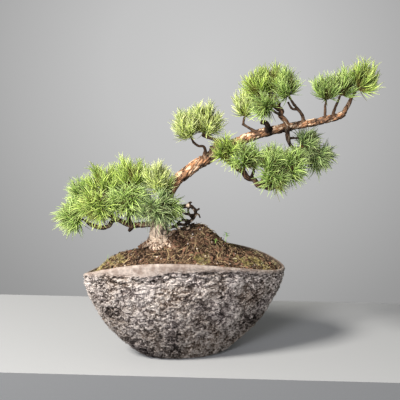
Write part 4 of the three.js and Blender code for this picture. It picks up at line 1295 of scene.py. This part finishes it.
@dataclass
class Pot:
    """The stoneware pot, with its torn skin, smooth lip and two drain holes."""

    form: PotForm = field(default_factory=PotForm)
    segments: int = 540
    drain_offset: float = 26
    drain_radius: float = 6
    flake_size: float = 8.5
    flake_height: float = 2.6
    pit_size: float = 3.8
    pit_depth: float = 3.1
    lip_wave: float = 1.4
    level_share: float = 0.78  # share of the rim's height that is made of level rings
    level_rings: int = 112
    upper_rings: int = 46
    groove: tuple = (1.8, 1.7)  # how far below the lip's edge the groove runs, and its half width
    groove_depth: float = 1.6
    tear: tuple = (8.0, 1.5)  # the same for the second, lower tear
    # number round the pot, size and phase of the waves in the lip's lower edge
    waves: tuple = (
        (5, 0.8, 0.3), (9, 0.9, 1.7), (17, 0.8, 4.0), (31, 0.8, 2.2), (53, 0.6, 0.9), (89, 0.5, 5.1)
    )
    # inset and height above the rim's line of the rings that round the lip over
    lip_rings: tuple = (
        (0.9, -0.6), (1.8, 0.8), (3.0, 1.6), (4.4, 1.7), (6.2, 0.9), (8.4, -0.6), (11.0, -2.6)
    )

    def lip_edge(self, angle: np.ndarray) -> np.ndarray:
        """Finds the ragged line round the pot where the smooth lip ends.

        Args:
            angle: round the pot's middle.

        Returns:
            How far below the rim it lies, in millimetres.
        """
        form = self.form
        fall = form.lip_fall * np.exp(-(((angle - form.lip_bearing) / form.lip_spread) ** 2))
        ragged = sum(size * np.sin(n * angle + phase) for n, size, phase in self.waves)
        return np.maximum(form.lip_height + fall + ragged, form.least_lip)

    def skin(self) -> bpy.types.Mesh:
        """Makes the closed wall.

        Returns:
            The mesh, with marks for where it is torn, where the groove below the lip runs and where soil
            has touched it.
        """
        form = self.form
        angle = np.linspace(0, 2 * math.pi, self.segments, endpoint=False)
        rim, edge = form.rim(angle), self.lip_edge(angle)
        profile = form.outer_profile(600)
        # The level rings are spaced evenly along a wall about 120 mm wide and 150 mm high.
        run = np.append(0, np.cumsum(np.hypot(*(np.diff(profile, axis=0) * (120, 150)).T)))
        climbs = np.linspace(0, 1, len(profile))
        rings, marks = [], {"crust": [], "groove": [], "inside": []}

        def ring(size: object, inset: object, height: np.ndarray, rough: object, cut: object = 0.0) -> None:
            """Adds one ring.

            Args:
                size: share of the rim's half length and half depth.
                inset: taken off both, in millimetres.
                height: above the foot.
                rough: 0 where the skin is smooth, 1 where it is torn.
                cut: share of the groove.
            """
            rings.append(form.point(angle, size, inset, height))
            soiled = np.clip((inset - 3.2) / 2, 0, 0.96)
            for values, value in zip(marks.values(), (rough, cut, soiled)):
                values.append(np.broadcast_to(value, angle.shape))

        for share in (0.0, 0.25, 0.5, 0.75, 0.94):
            ring(profile[0, 0] * share, form.lip_step, 0 * rim, 0.0)
        low = profile[:, 1] < self.level_share
        for place in np.linspace(0, run[low][-1], self.level_rings):
            size, rise, climb = (np.interp(place, run, column) for column in (*profile.T, climbs))
            ring(size, form.torn(angle, climb), rise * rim, min(place / 8, 1.0))
        for share in np.linspace(0, 1, self.upper_rings)[1:]:
            height = rim * self.level_share + (rim - 2 - rim * self.level_share) * share
            size = np.interp(height / rim, [*profile[:, 1], 1.0], [*profile[:, 0], 1.0])
            climb = np.interp(height / rim, profile[:, 1], climbs)
            below = (rim - height) - edge
            rough = 0.3 * smooth(-8, -2, below) + 0.7 * smooth(-0.8, 0.8, below)
            uneven = 0.55 + 0.45 * np.sin(7 * angle + 2) * np.sin(19 * angle)
            cut = np.exp(-(((below - self.groove[0]) / self.groove[1]) ** 2)) * uneven
            # A second, lower tear runs round the end that faces the viewer's left.
            lower = below - self.tear[0] - 2.2 * np.sin(13 * angle + 1) - 1.2 * np.sin(29 * angle)
            facing = smooth(0.1, 0.75, np.cos(angle - form.lip_bearing + 0.15))
            tear = np.exp(-((lower / self.tear[1]) ** 2)) * facing
            cut = np.maximum(cut, 0.9 * tear)
            torn = form.torn(angle, climb) + self.groove_depth * cut
            ring(size, torn * rough - 0.1 * (1 - rough), height, rough, cut)
        for inset, above in self.lip_rings:
            ring(1.0, inset, rim + above, 0.0)
        for size, rise in reversed(form.inner[:-1]):
            ring(size, form.wall, np.maximum(rise * rim, form.floor), 0.0)
        for share in (0.8, 0.5, 0.2):
            ring(form.inner[0][0] * share, form.wall * share, 0 * rim + form.floor, 0.0)
        middle = [form.point(angle, 0, 0, 0 * rim + height)[:1] for height in (0, form.floor)]
        rings[0] = middle[0]
        mesh = ring_body("pot_skin", [*rings, middle[1]])
        for name, values in marks.items():
            mark(mesh, name, np.concatenate([[0.0], *values[1:], [0.0]]))
        return mesh

    def crust_rule(self) -> Rule:
        """Makes the rule that tears the skin into raised flakes and pits, and waves the lip a little.

        Returns:
            The rule.
        """
        rule = Rule("torn_skin", {
            "Flake Size": float, "Flake Height": float, "Pit Size": float, "Pit Depth": float,
            "Lip Wave": float, "Finish": bpy.types.Material,
        })
        add, take = rule.add, rule.inputs
        crust = add("InputNamedAttribute", {"Name": "crust"})
        place = add("InputPosition")
        # Flakes are longer than they are high, as the clay was torn sideways.
        flat = add("VectorMath", {0: place, 1: (1.0, 1.0, 1.7)}, operation="MULTIPLY")
        flake_scale, pit_scale = (
            add("Math", {0: 1.0, 1: take[size]}, operation="DIVIDE") for size in ("Flake Size", "Pit Size")
        )
        flakes = {"Vector": flat, "Scale": flake_scale, "Detail": 7.0, "Roughness": 0.62, "Distortion": 0.8}
        torn = add("TexNoise", flakes)
        plateau = add("MapRange", {0: torn, 1: 0.46, 2: 0.54}, interpolation_type="SMOOTHSTEP")
        holes = {"Vector": flat, "Scale": pit_scale, "Detail": 5.0, "Roughness": 0.7, "Distortion": 0.4}
        pits = add("TexNoise", holes)
        grain = add("MapRange", {0: pits, 1: 0.3, 2: 0.7})
        swell = add("TexNoise", {"Vector": flat, "Scale": 26.0, "Detail": 2.0})
        half = add("Math", {0: grain, 1: 0.5}, operation="MULTIPLY")
        relief = add("Math", {0: plateau, 1: 0.5, 2: half}, operation="MULTIPLY_ADD")
        flaked = rule.height(plateau, 0.6, take["Flake Height"])
        pitted = rule.height(grain, 0.5, take["Pit Depth"])
        waved = rule.height(swell, 0.5, take["Lip Wave"])
        rough = add("Math", {0: flaked, 1: pitted}, operation="ADD")
        skin = add("Math", {0: rough, 1: crust}, operation="MULTIPLY")
        height = add("Math", {0: skin, 1: waved}, operation="ADD")
        # The foot's edge stays flat, so that the pot stands firmly.
        up = add("SeparateXYZ", {0: place}).outputs["Z"]
        stand = add("MapRange", {0: up, 1: 0.0005, 2: 0.006})
        kept = add("Math", {0: height, 1: stand}, operation="MULTIPLY")
        push = add("VectorMath", {0: add("InputNormal"), "Scale": kept}, operation="SCALE")
        marked = add("StoreNamedAttribute", {"Geometry": take["Geometry"], "Name": "relief", "Value": relief})
        lifted = add("StoreNamedAttribute", {"Geometry": marked, "Name": "low", "Value": up})
        rule.end(add("SetPosition", {"Geometry": lifted, "Offset": push}), take["Finish"])
        return rule

    def build(self) -> bpy.types.Object:
        """Makes the pot.

        Returns:
            The finished piece.
        """
        form, finish = self.form, Stoneware("unglazed_stoneware").material()
        pot = self.crust_rule().run(
            "rough_pot", self.skin(), Flake_Size=self.flake_size * MM, Flake_Height=self.flake_height * MM,
            Pit_Size=self.pit_size * MM, Pit_Depth=self.pit_depth * MM, Lip_Wave=self.lip_wave * MM,
            Finish=finish,
        )
        for turn in (math.pi, 0.0):
            centre = form.point(np.array([turn]), self.drain_offset / form.half_length, 0, np.zeros(1))[0]
            spot = (*(centre[:2] * MM), form.floor / 2 * MM)
            bpy.ops.mesh.primitive_cylinder_add(
                vertices=32, radius=self.drain_radius * MM, depth=40 * MM, location=spot
            )
            bore = bpy.context.object
            cut = pot.modifiers.new("drain", "BOOLEAN")
            cut.operation, cut.solver, cut.object = "DIFFERENCE", "MANIFOLD", bore
            settle(pot)
            bpy.data.objects.remove(bore)
        pot.data.shade_smooth()
        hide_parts("pot")
        return pot


# ---- soil and what lies on it -----------------------------------------------------------------------


@dataclass
class Ground:
    """The mounded soil, with its moss, grit, bark chips, fallen needles and three sprouts."""

    form: PotForm = field(default_factory=PotForm)
    gap: float = 0.35  # mm, between the soil and the pot's inside
    below_rim: float = 3.5
    centre: float = 157  # mm, height in the middle without the mounds
    # x, y, spread along x, spread along y and rise of each mound, with the steepest one first
    mounds: tuple = (
        (30, 6, 26, 27, 44), (-31, 3, 34, 27, 23), (-8, 2, 20, 20, 14), (81, 20, 40, 34, 15),
        (-110, 6, 34, 28, 24),
    )
    # middle x, y and radius of each patch of moss
    moss: tuple = (
        (-130, -12, 24), (-106, -22, 17), (30, -44, 17), (126, 8, 20), (96, -14, 14), (-62, 48, 20),
        (62, 50, 20),
    )
    sprouts: tuple = (
        Sprout("seedling", (68, 10), 17, 8, 8, 2.4), Sprout("grass_blade", (-121, 2), 15, 0, 0, 1.5),
        Sprout("small_seedling", (52, -12), 7, 5, 5, 2.0),
    )
    crumbs: float = 0.8  # mm, the bare body lies this much below the surface that its crumbs and litter make
    segments: int = 260
    rings: int = 74
    clod_size: float = 9
    clod_height: float = 11  # mm, of the noise, which seldom reaches a quarter of its range
    littered_foot: tuple = (216, 60)  # mm, height and reach of the wood that catches litter
    # name, shape, where it lies, seed, number a square metre, least and largest mm, tip and material
    litter: tuple = (
        ("moss_tufts", "tuft", "moss", 0, 120000, 2.2, 5.6, 0.7, "dry_moss", "#443719", "#bcac72"),
        ("moss_strands", "straw", "moss", 1, 130000, 5, 12, 1.1, "moss_straw", "#6f6236", "#f0e6ba"),
        ("soil_grit", "grain", "grit", 2, 110000, 1.2, 4.4, 1.5, "fired_clay_grit", "#080503", "#846a53"),
        ("pale_pebbles", "grain", "all", 3, 2000, 2.4, 4.6, 1, "pumice", "#a8978a", "#dccec1"),
        ("bark_chips", "chip", "chips", 4, 26000, 3, 9, 0.8, "bark_chips", "#100906", "#926a54"),
        ("fallen_needles", "straw", "straw", 5, 36000, 9, 19, 0.4, "dry_needles", "#2c1d12", "#cdb488"),
        ("root_grit", "grain", "root", 7, 190000, 1.4, 4.2, 0.5, "root_grit", "#1a100b", "#8c6b57"),
        ("root_litter", "straw", "root", 8, 90000, 6, 14, 0.5, "root_litter", "#4a3024", "#bd9b7c"),
        ("rim_grit", "grain", "rim", 9, 170000, 1.2, 3.4, 0.5, "rim_grit", "#1a110a", "#86705a"),
        ("rim_moss", "straw", "rim", 10, 90000, 4, 9, 0.5, "rim_moss", "#575230", "#cfc795"),
    )
    # inset and height above the rim's line of the rings on the rim's inner slope, and their cover
    slope: tuple = ((4.6, 1.2, 0.25), (7.0, 0.2, 0.6), (9.5, -1.2, 1.0), (12.5, -3.0, 1.0))

    def height(self, x: np.ndarray, y: np.ndarray, share: float, edge: np.ndarray) -> np.ndarray:
        """Height of the surface.

        Args:
            x: across.
            y: to the back.
            share: 0 in the middle of the pot, 1 at its wall.
            edge: height at the wall.

        Returns:
            The heights in millimetres.
        """
        level = self.centre + (edge - self.centre) * share * share
        for mx, my, sx, sy, rise in self.mounds:
            level = level + rise * np.exp(-(((x - mx) / sx) ** 2 + ((y - my) / sy) ** 2) / 2) * (1 - share**8)
        return level

    def surface(self) -> tuple[list[np.ndarray], list[np.ndarray]]:
        """Lays out the soil's body.

        Returns:
            The rings of the underside, and those of the surface from the wall inwards.
        """
        form, angle = self.form, np.linspace(0, 2 * math.pi, self.segments, endpoint=False)
        rim, inset = form.rim(angle), form.wall + self.gap
        under = [form.point(angle, 0, 0, 0 * rim + form.floor + self.gap)]
        for size, rise in form.inner[:-1]:
            under.append(form.point(angle, size, inset, np.maximum(rise * rim, form.floor + self.gap)))
        (low_size, low_rise), (high_size, high_rise) = form.inner[-2:]
        share = ((1 - self.below_rim / rim) - low_rise) / (high_rise - low_rise)
        bottom = form.point(angle, low_size, inset, low_rise * rim)
        edge = bottom + (form.point(angle, high_size, inset, rim) - bottom) * share[:, None]
        top = []
        for part in np.linspace(1, 0, self.rings):
            ring = edge * part
            ring[:, 2] = self.height(ring[:, 0], ring[:, 1], part, edge[:, 2]) - self.crumbs * (1 - part**8)
            top.append(ring)
        return under, top

    def crumble_rule(self) -> Rule:
        """Makes the rule that breaks the surface into clods and crumbs.

        Returns:
            The rule.
        """
        rule = Rule("crumbly_soil", {"Clod Size": float, "Clod Height": float, "Finish": bpy.types.Material})
        add, take = rule.add, rule.inputs
        top = add("InputNamedAttribute", {"Name": "top"})
        place = add("InputPosition")
        scale = add("Math", {0: 1.0, 1: take["Clod Size"]}, operation="DIVIDE")
        clods = add("TexNoise", {"Vector": place, "Scale": scale, "Detail": 6.0, "Roughness": 0.7})
        push = add("CombineXYZ", {"Z": rule.height(clods, 0.5, take["Clod Height"], top)})
        moved = add("SetPosition", {"Geometry": take["Geometry"], "Offset": push})
        rule.end(moved, take["Finish"])
        return rule

    def scatter_rule(self) -> Rule:
        """Makes the rule that scatters copies of a small shape, as densely as the surface is covered.

        Returns:
            The rule.
        """
        rule = Rule("scattered_litter", {
            "Shape": bpy.types.Object, "Density": float, "Smallest": float, "Largest": float, "Tip": float,
            "Seed": int, "Finish": bpy.types.Material,
        })
        add, take = rule.add, rule.inputs
        cover = add("InputNamedAttribute", {"Name": "cover"})
        dense = add("Math", {0: cover, 1: take["Density"]}, operation="MULTIPLY")
        surface = {"Mesh": take["Geometry"], "Density": dense, "Seed": take["Seed"]}
        spots = add("DistributePointsOnFaces", surface)
        back = add("Math", {0: take["Tip"], 1: -1.0}, operation="MULTIPLY")
        # What differs between the copies: least and most, with a seed of its own for each.
        draws = {
            "spin": (0.0, 2 * math.pi), "tip": (back, take["Tip"]),
            "size": (take["Smallest"], take["Largest"]), "tint": (0.0, 1.0),
        }
        for number, (name, (low, high)) in enumerate(draws.items(), 1):
            seed = add("Math", {0: take["Seed"], 1: 10.0 * number}, operation="ADD")
            draws[name] = add("RandomValue", {2: low, 3: high, 8: seed})
        euler = add("CombineXYZ", {"X": draws["tip"], "Z": draws["spin"]})
        turn = {0: spots.outputs["Rotation"], 1: add("EulerToRotation", {0: euler})}
        turned = add("RotateRotation", turn, rotation_space="LOCAL")
        shape = add("ObjectInfo", {0: take["Shape"]}, transform_space="ORIGINAL").outputs["Geometry"]
        places = {
            "Points": spots.outputs["Points"], "Instance": shape, "Rotation": turned, "Scale": draws["size"]
        }
        tint = {"Geometry": add("InstanceOnPoints", places), "Name": "tint", "Value": draws["tint"]}
        rule.end(add("StoreNamedAttribute", tint, domain="INSTANCE"), take["Finish"])
        return rule

    def shapes(self) -> dict[str, bpy.types.Object]:
        """Makes the small shapes that are scattered, each about 1 m across so that sizes are in metres.

        Returns:
            The shapes by name, not linked to the scene.
        """
        rng = np.random.default_rng(5)
        made = {}

        def keep(name: str, points: np.ndarray | list, faces: list) -> None:
            """Stores one shape.

            Args:
                name: the shape's name.
                points: rows of x, y and z, in metres.
                faces: the corners of each face.
            """
            mesh = bpy.data.meshes.new(name)
            mesh.from_pydata(np.asarray(points, float).tolist(), [], faces)
            made[name] = bpy.data.objects.new(name, mesh)

        bpy.ops.mesh.primitive_ico_sphere_add(subdivisions=1, radius=0.5)
        ball = bpy.context.object
        corners = points_of(ball.data) * MM
        faces = [list(face.vertices) for face in ball.data.polygons]
        bpy.data.objects.remove(ball)
        keep("grain", corners * rng.uniform(0.75, 1.25, (len(corners), 1)) * (1, 0.85, 0.7), faces)
        keep("chip", corners * rng.uniform(0.8, 1.2, (len(corners), 1)) * (1.3, 0.6, 0.16), faces)
        # A straw is a bent three-sided needle that lies flat.
        straw, faces = [], []
        for i, x in enumerate((-0.5, -0.15, 0.2, 0.5)):
            for k in range(3):
                turn = 2 * math.pi * k / 3
                across, height = 0.024 * math.cos(turn), 0.03 + 0.024 * math.sin(turn)
                straw.append((x, 0.09 * (1 - 4 * x * x) + across, height))
                if i < 3:
                    a, b = 3 * i + k, 3 * i + (k + 1) % 3
                    faces.append((a, a + 3, b + 3, b))
        faces += [(0, 1, 2), (11, 10, 9)]
        keep("straw", straw, faces)
        # A tuft of moss is nine short blades that lean apart.
        blades, faces = [], []
        for i in range(9):
            turn, lean = GOLDEN_ANGLE * i, 0.12 + 0.42 * (i / 8)
            out = np.array([math.cos(turn), math.sin(turn), 0.0])
            foot = out * 0.12 * math.sqrt(i)
            tip = foot + out * lean + np.array([0, 0, 1 - 0.5 * lean])
            first = len(blades)
            sides = [np.array([math.cos(turn + a), math.sin(turn + a), -0.4]) for a in (0, 2.1, 4.2)]
            blades += [foot + 0.11 * side for side in sides]
            blades.append(tip)
            faces += [(first + a, first + b, first + 3) for a, b in ((0, 1), (1, 2), (2, 0))]
        keep("tuft", blades, faces)
        return made

    def covers(self, points: np.ndarray) -> dict[str, np.ndarray]:
        """Works out where each kind of litter lies.

        Args:
            points: the surface's points.

        Returns:
            A share from 0 to 1 for each point, by kind.
        """
        x, y = points[:, 0], points[:, 1]
        wobble = 0.3 * np.sin(x / 4.1) * np.cos(y / 3.3) + 0.2 * np.sin(x / 1.9 + y / 2.3)
        green = np.zeros(len(points))
        for mx, my, radius in self.moss:
            far = np.hypot(x - mx, y - my) / radius + wobble
            green = np.maximum(green, 1 - smooth(0.45, 1.0, far))
        broken = np.sin(x / 2.3 + 2 * np.sin(y / 5.1)) * np.sin(y / 1.7 + 2 * np.sin(x / 6.3))
        green *= smooth(-0.5, 0.6, broken)
        peak_x, peak_y = self.mounds[0][:2]
        steep = np.exp(-(((x - peak_x) / 40) ** 2 + ((y - peak_y) / 40) ** 2))
        return {
            "moss": green, "grit": 1 - green, "chips": 0.4 + 0.6 * steep, "straw": 0.25 + 0.75 * steep,
            "all": np.ones_like(x),
        }

    def root_carpet(self, wood: bpy.types.Object) -> bpy.types.Mesh:
        """Copies the faces of the roots and the trunk's foot that litter settles on.

        Args:
            wood: the finished wood.

        Returns:
            A mesh with its cover marked, thinning out up the trunk.
        """
        points = points_of(wood.data)
        middles, facing = (np.empty(len(wood.data.polygons) * 3, np.float32) for _ in range(2))
        wood.data.polygons.foreach_get("center", middles)
        wood.data.polygons.foreach_get("normal", facing)
        middles = middles.reshape(-1, 3) / MM
        top, reach = self.littered_foot
        near = (middles[:, 2] < top) & (np.hypot(middles[:, 0] + 30, middles[:, 1]) < reach)
        chosen = np.flatnonzero(near & (facing.reshape(-1, 3)[:, 2] > 0.15))
        corners = [list(wood.data.polygons[i].vertices) for i in chosen]
        carpet = mesh_of("root_carpet", points, corners)
        high = points[:, 2] + 3 * np.sin(points[:, 0] / 2.7) + 3 * np.sin(points[:, 1] / 2.1)
        on_root = 16 * smooth(13, 19, np.abs(points[:, 0] - Wood.foot_x))
        mark(carpet, "cover", 1 - smooth(182, 200, high - on_root))
        return carpet

    def rim_carpet(self) -> bpy.types.Mesh:
        """Makes the inner slope of the pot's rim, which litter and moss have crept up on.

        Returns:
            A mesh with its cover marked.
        """
        angle = np.linspace(0, 2 * math.pi, self.segments, endpoint=False)
        rim = self.form.rim(angle)
        rows = [self.form.point(angle, 1.0, inset, rim + above) for inset, above, _ in self.slope]
        faces = [face for i in range(len(self.slope) - 1) for face in band(self.segments, i * self.segments)]
        carpet = mesh_of("rim_carpet", np.vstack(rows), faces)
        crept = 0.6 + 0.4 * np.sin(23 * angle + 2 * np.sin(5 * angle))
        mark(carpet, "cover", np.concatenate([crept * share for *_, share in self.slope]))
        return carpet

    def build(self, wood: bpy.types.Object) -> list[bpy.types.Object]:
        """Makes the soil and its cover.

        Args:
            wood: the finished wood, whose roots catch some of the litter.

        Returns:
            The finished pieces.
        """
        under, top = self.surface()
        body = ring_body("soil_body", [*under, *top])
        buried = 1 + len(under) * self.segments
        mark(body, "top", np.arange(len(body.vertices)) >= buried)
        earth = Earth("bonsai_soil").material()
        soil = self.crumble_rule().run(
            "mounded_soil", body, Clod_Size=self.clod_size * MM, Clod_Height=self.clod_height * MM,
            Finish=earth,
        )
        soil.data.shade_smooth()
        crust = points_of(soil.data)[buried - self.segments :]
        faces = [face for i in range(2, len(top) - 2) for face in band(self.segments, i * self.segments)]
        carpets = {"root": self.root_carpet(wood), "rim": self.rim_carpet()}
        for kind, cover in self.covers(crust).items():
            carpets[kind] = mesh_of("carpet", crust, faces)
            mark(carpets[kind], "cover", cover)
        scatter, shapes, pieces = self.scatter_rule(), self.shapes(), [soil]
        for name, shape, place, seed, density, low, high, tip, *finish in self.litter:
            pieces.append(scatter.run(
                name, carpets[place], Shape=shapes[shape], Density=float(density), Smallest=low * MM,
                Largest=high * MM, Tip=float(tip), Seed=seed, Finish=Litter(*finish).material(),
            ))
        leaf = Litter("seedling_leaf", "#5f8a3c", "#a8cf6e").material()
        for sprout in self.sprouts:
            nearest = np.argmin(np.hypot(crust[:, 0] - sprout.place[0], crust[:, 1] - sprout.place[1]))
            pieces.append(sprout.build(crust[nearest, 2], leaf))
        for shape in shapes.values():
            bpy.data.objects.remove(shape)
        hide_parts("soil")
        return pieces


# ---- the studio -------------------------------------------------------------------------------------


@dataclass
class Studio:
    """A pale table top, a grey background, soft lights from the upper left and the camera."""

    target: tuple[float, float, float] = (27.8, 0, 255.5)
    distance: float = 2200
    elevation: float = math.radians(13)
    lens: float = 125
    aim: tuple[float, float, float] = (0.03, 0, 0.22)  # metres, what the lights face
    # x and y of the table's front edge and its back edge, at its left and right ends
    table: tuple = ((-1600, 8), (1600, -232), (1600, 178), (-1600, 425))
    table_depth: float = 90

    def light(self, name: str, place: tuple, size: float, power: float, colour: str) -> None:
        """Adds a square soft light that faces the tree.

        Args:
            name: the light's name.
            place: in metres.
            size: of its side, in metres.
            power: in watts.
            colour: of its light.
        """
        data = bpy.data.lights.new(name, "AREA")
        data.size, data.energy, data.color = size, power, linear(colour)[:3]
        lamp = bpy.data.objects.new(name, data)
        lamp.location = place
        lamp.rotation_euler = (Vector(self.aim) - Vector(place)).to_track_quat("-Z", "Y").to_euler()
        bpy.context.scene.collection.objects.link(lamp)

    def build(self) -> None:
        """Sets up the table, the background, the lights and the camera."""
        scene = bpy.context.scene
        scene.view_settings.view_transform = "Standard"
        corners = [(*corner, z) for z in (0, -self.table_depth) for corner in self.table]
        sides = [(0, 1, 2, 3), (7, 6, 5, 4), (0, 4, 5, 1), (1, 5, 6, 2), (2, 6, 7, 3), (3, 7, 4, 0)]
        table = bpy.data.objects.new("table_top", mesh_of("table_top", corners, sides))
        table.data.materials.append(Plain("white_board", "#b3b5b7", 0.7).material())
        # Painted shade: the front edge gets a darker copy of the board.
        table.data.materials.append(Plain("board_edge", "#77797b", 0.8).material())
        table.data.polygons[2].material_index = 1  # the front edge
        scene.collection.objects.link(table)
        world = bpy.data.worlds.new("grey_studio")
        world.use_nodes = True
        scene.world = world
        world.node_tree.nodes.clear()
        add = partial(add_node, world.node_tree)
        way = add("TexCoord").outputs["Generated"]
        # The wall is lit in a soft pool behind the tree and falls off to its sides and downwards.
        spot = add("VectorMath", {0: way, 1: (0.004, 0.991, -0.133)}, operation="DISTANCE")
        pool = add("MapRange", {0: spot, 1: 0.0, 2: 0.25})
        wall = add("ValToRGB", {0: pool}, stops=[
            (0.0, "#cacaca"), (0.28, "#c3c3c3"), (0.53, "#b2b2b2"), (0.8, "#9b9b9b"), (1.0, "#8c8c8c"),
        ])
        back = add("Background", {"Color": wall, "Strength": 1.0})
        ambient = add("Background", {"Color": linear("#efefec"), "Strength": 0.225})
        seen = add("LightPath").outputs["Is Camera Ray"]
        both = add("MixShader", {0: seen, 1: ambient, 2: back})
        add("OutputWorld", {0: both})
        self.light("key_softbox", (-1.5, -1.25, 1.9), 0.7, 108.0, "#fffaf2")
        self.light("front_softbox", (-0.9, -2.3, 0.8), 0.7, 52.0, "#fbfaff")
        data = bpy.data.cameras.new("camera")
        data.lens, data.sensor_width = self.lens, 36
        camera = bpy.data.objects.new("camera", data)
        away = Vector((0, -math.cos(self.elevation), math.sin(self.elevation)))
        camera.location = (Vector(self.target) + self.distance * away) * MM
        camera.rotation_euler = (math.pi / 2 - self.elevation, 0, 0)
        data.clip_start, data.clip_end = 0.05, 50
        scene.collection.objects.link(camera)
        scene.camera = camera


def main() -> None:
    """Builds the pot, the soil, the wood and the needles in turn, and reports each piece."""
    logging.basicConfig(level=logging.INFO, format="%(name)s: %(message)s")
    Studio().build()
    wood = Wood().build()
    pieces = [Pot().build(), *Ground().build(wood), wood, *Needles().build()]
    mesh_finish = Plain("black_polyethylene", "#1d1f20", 0.55).material()
    for side in ("left", "right"):
        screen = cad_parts[f"drain_screen_{side}"]
        screen.data.materials.clear()
        screen.data.materials.append(mesh_finish)
    for piece in pieces:
        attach(piece, "root")
        log.info("%s: %d faces", piece.name, len(piece.data.polygons))


if __name__ == "__main__":
    main()
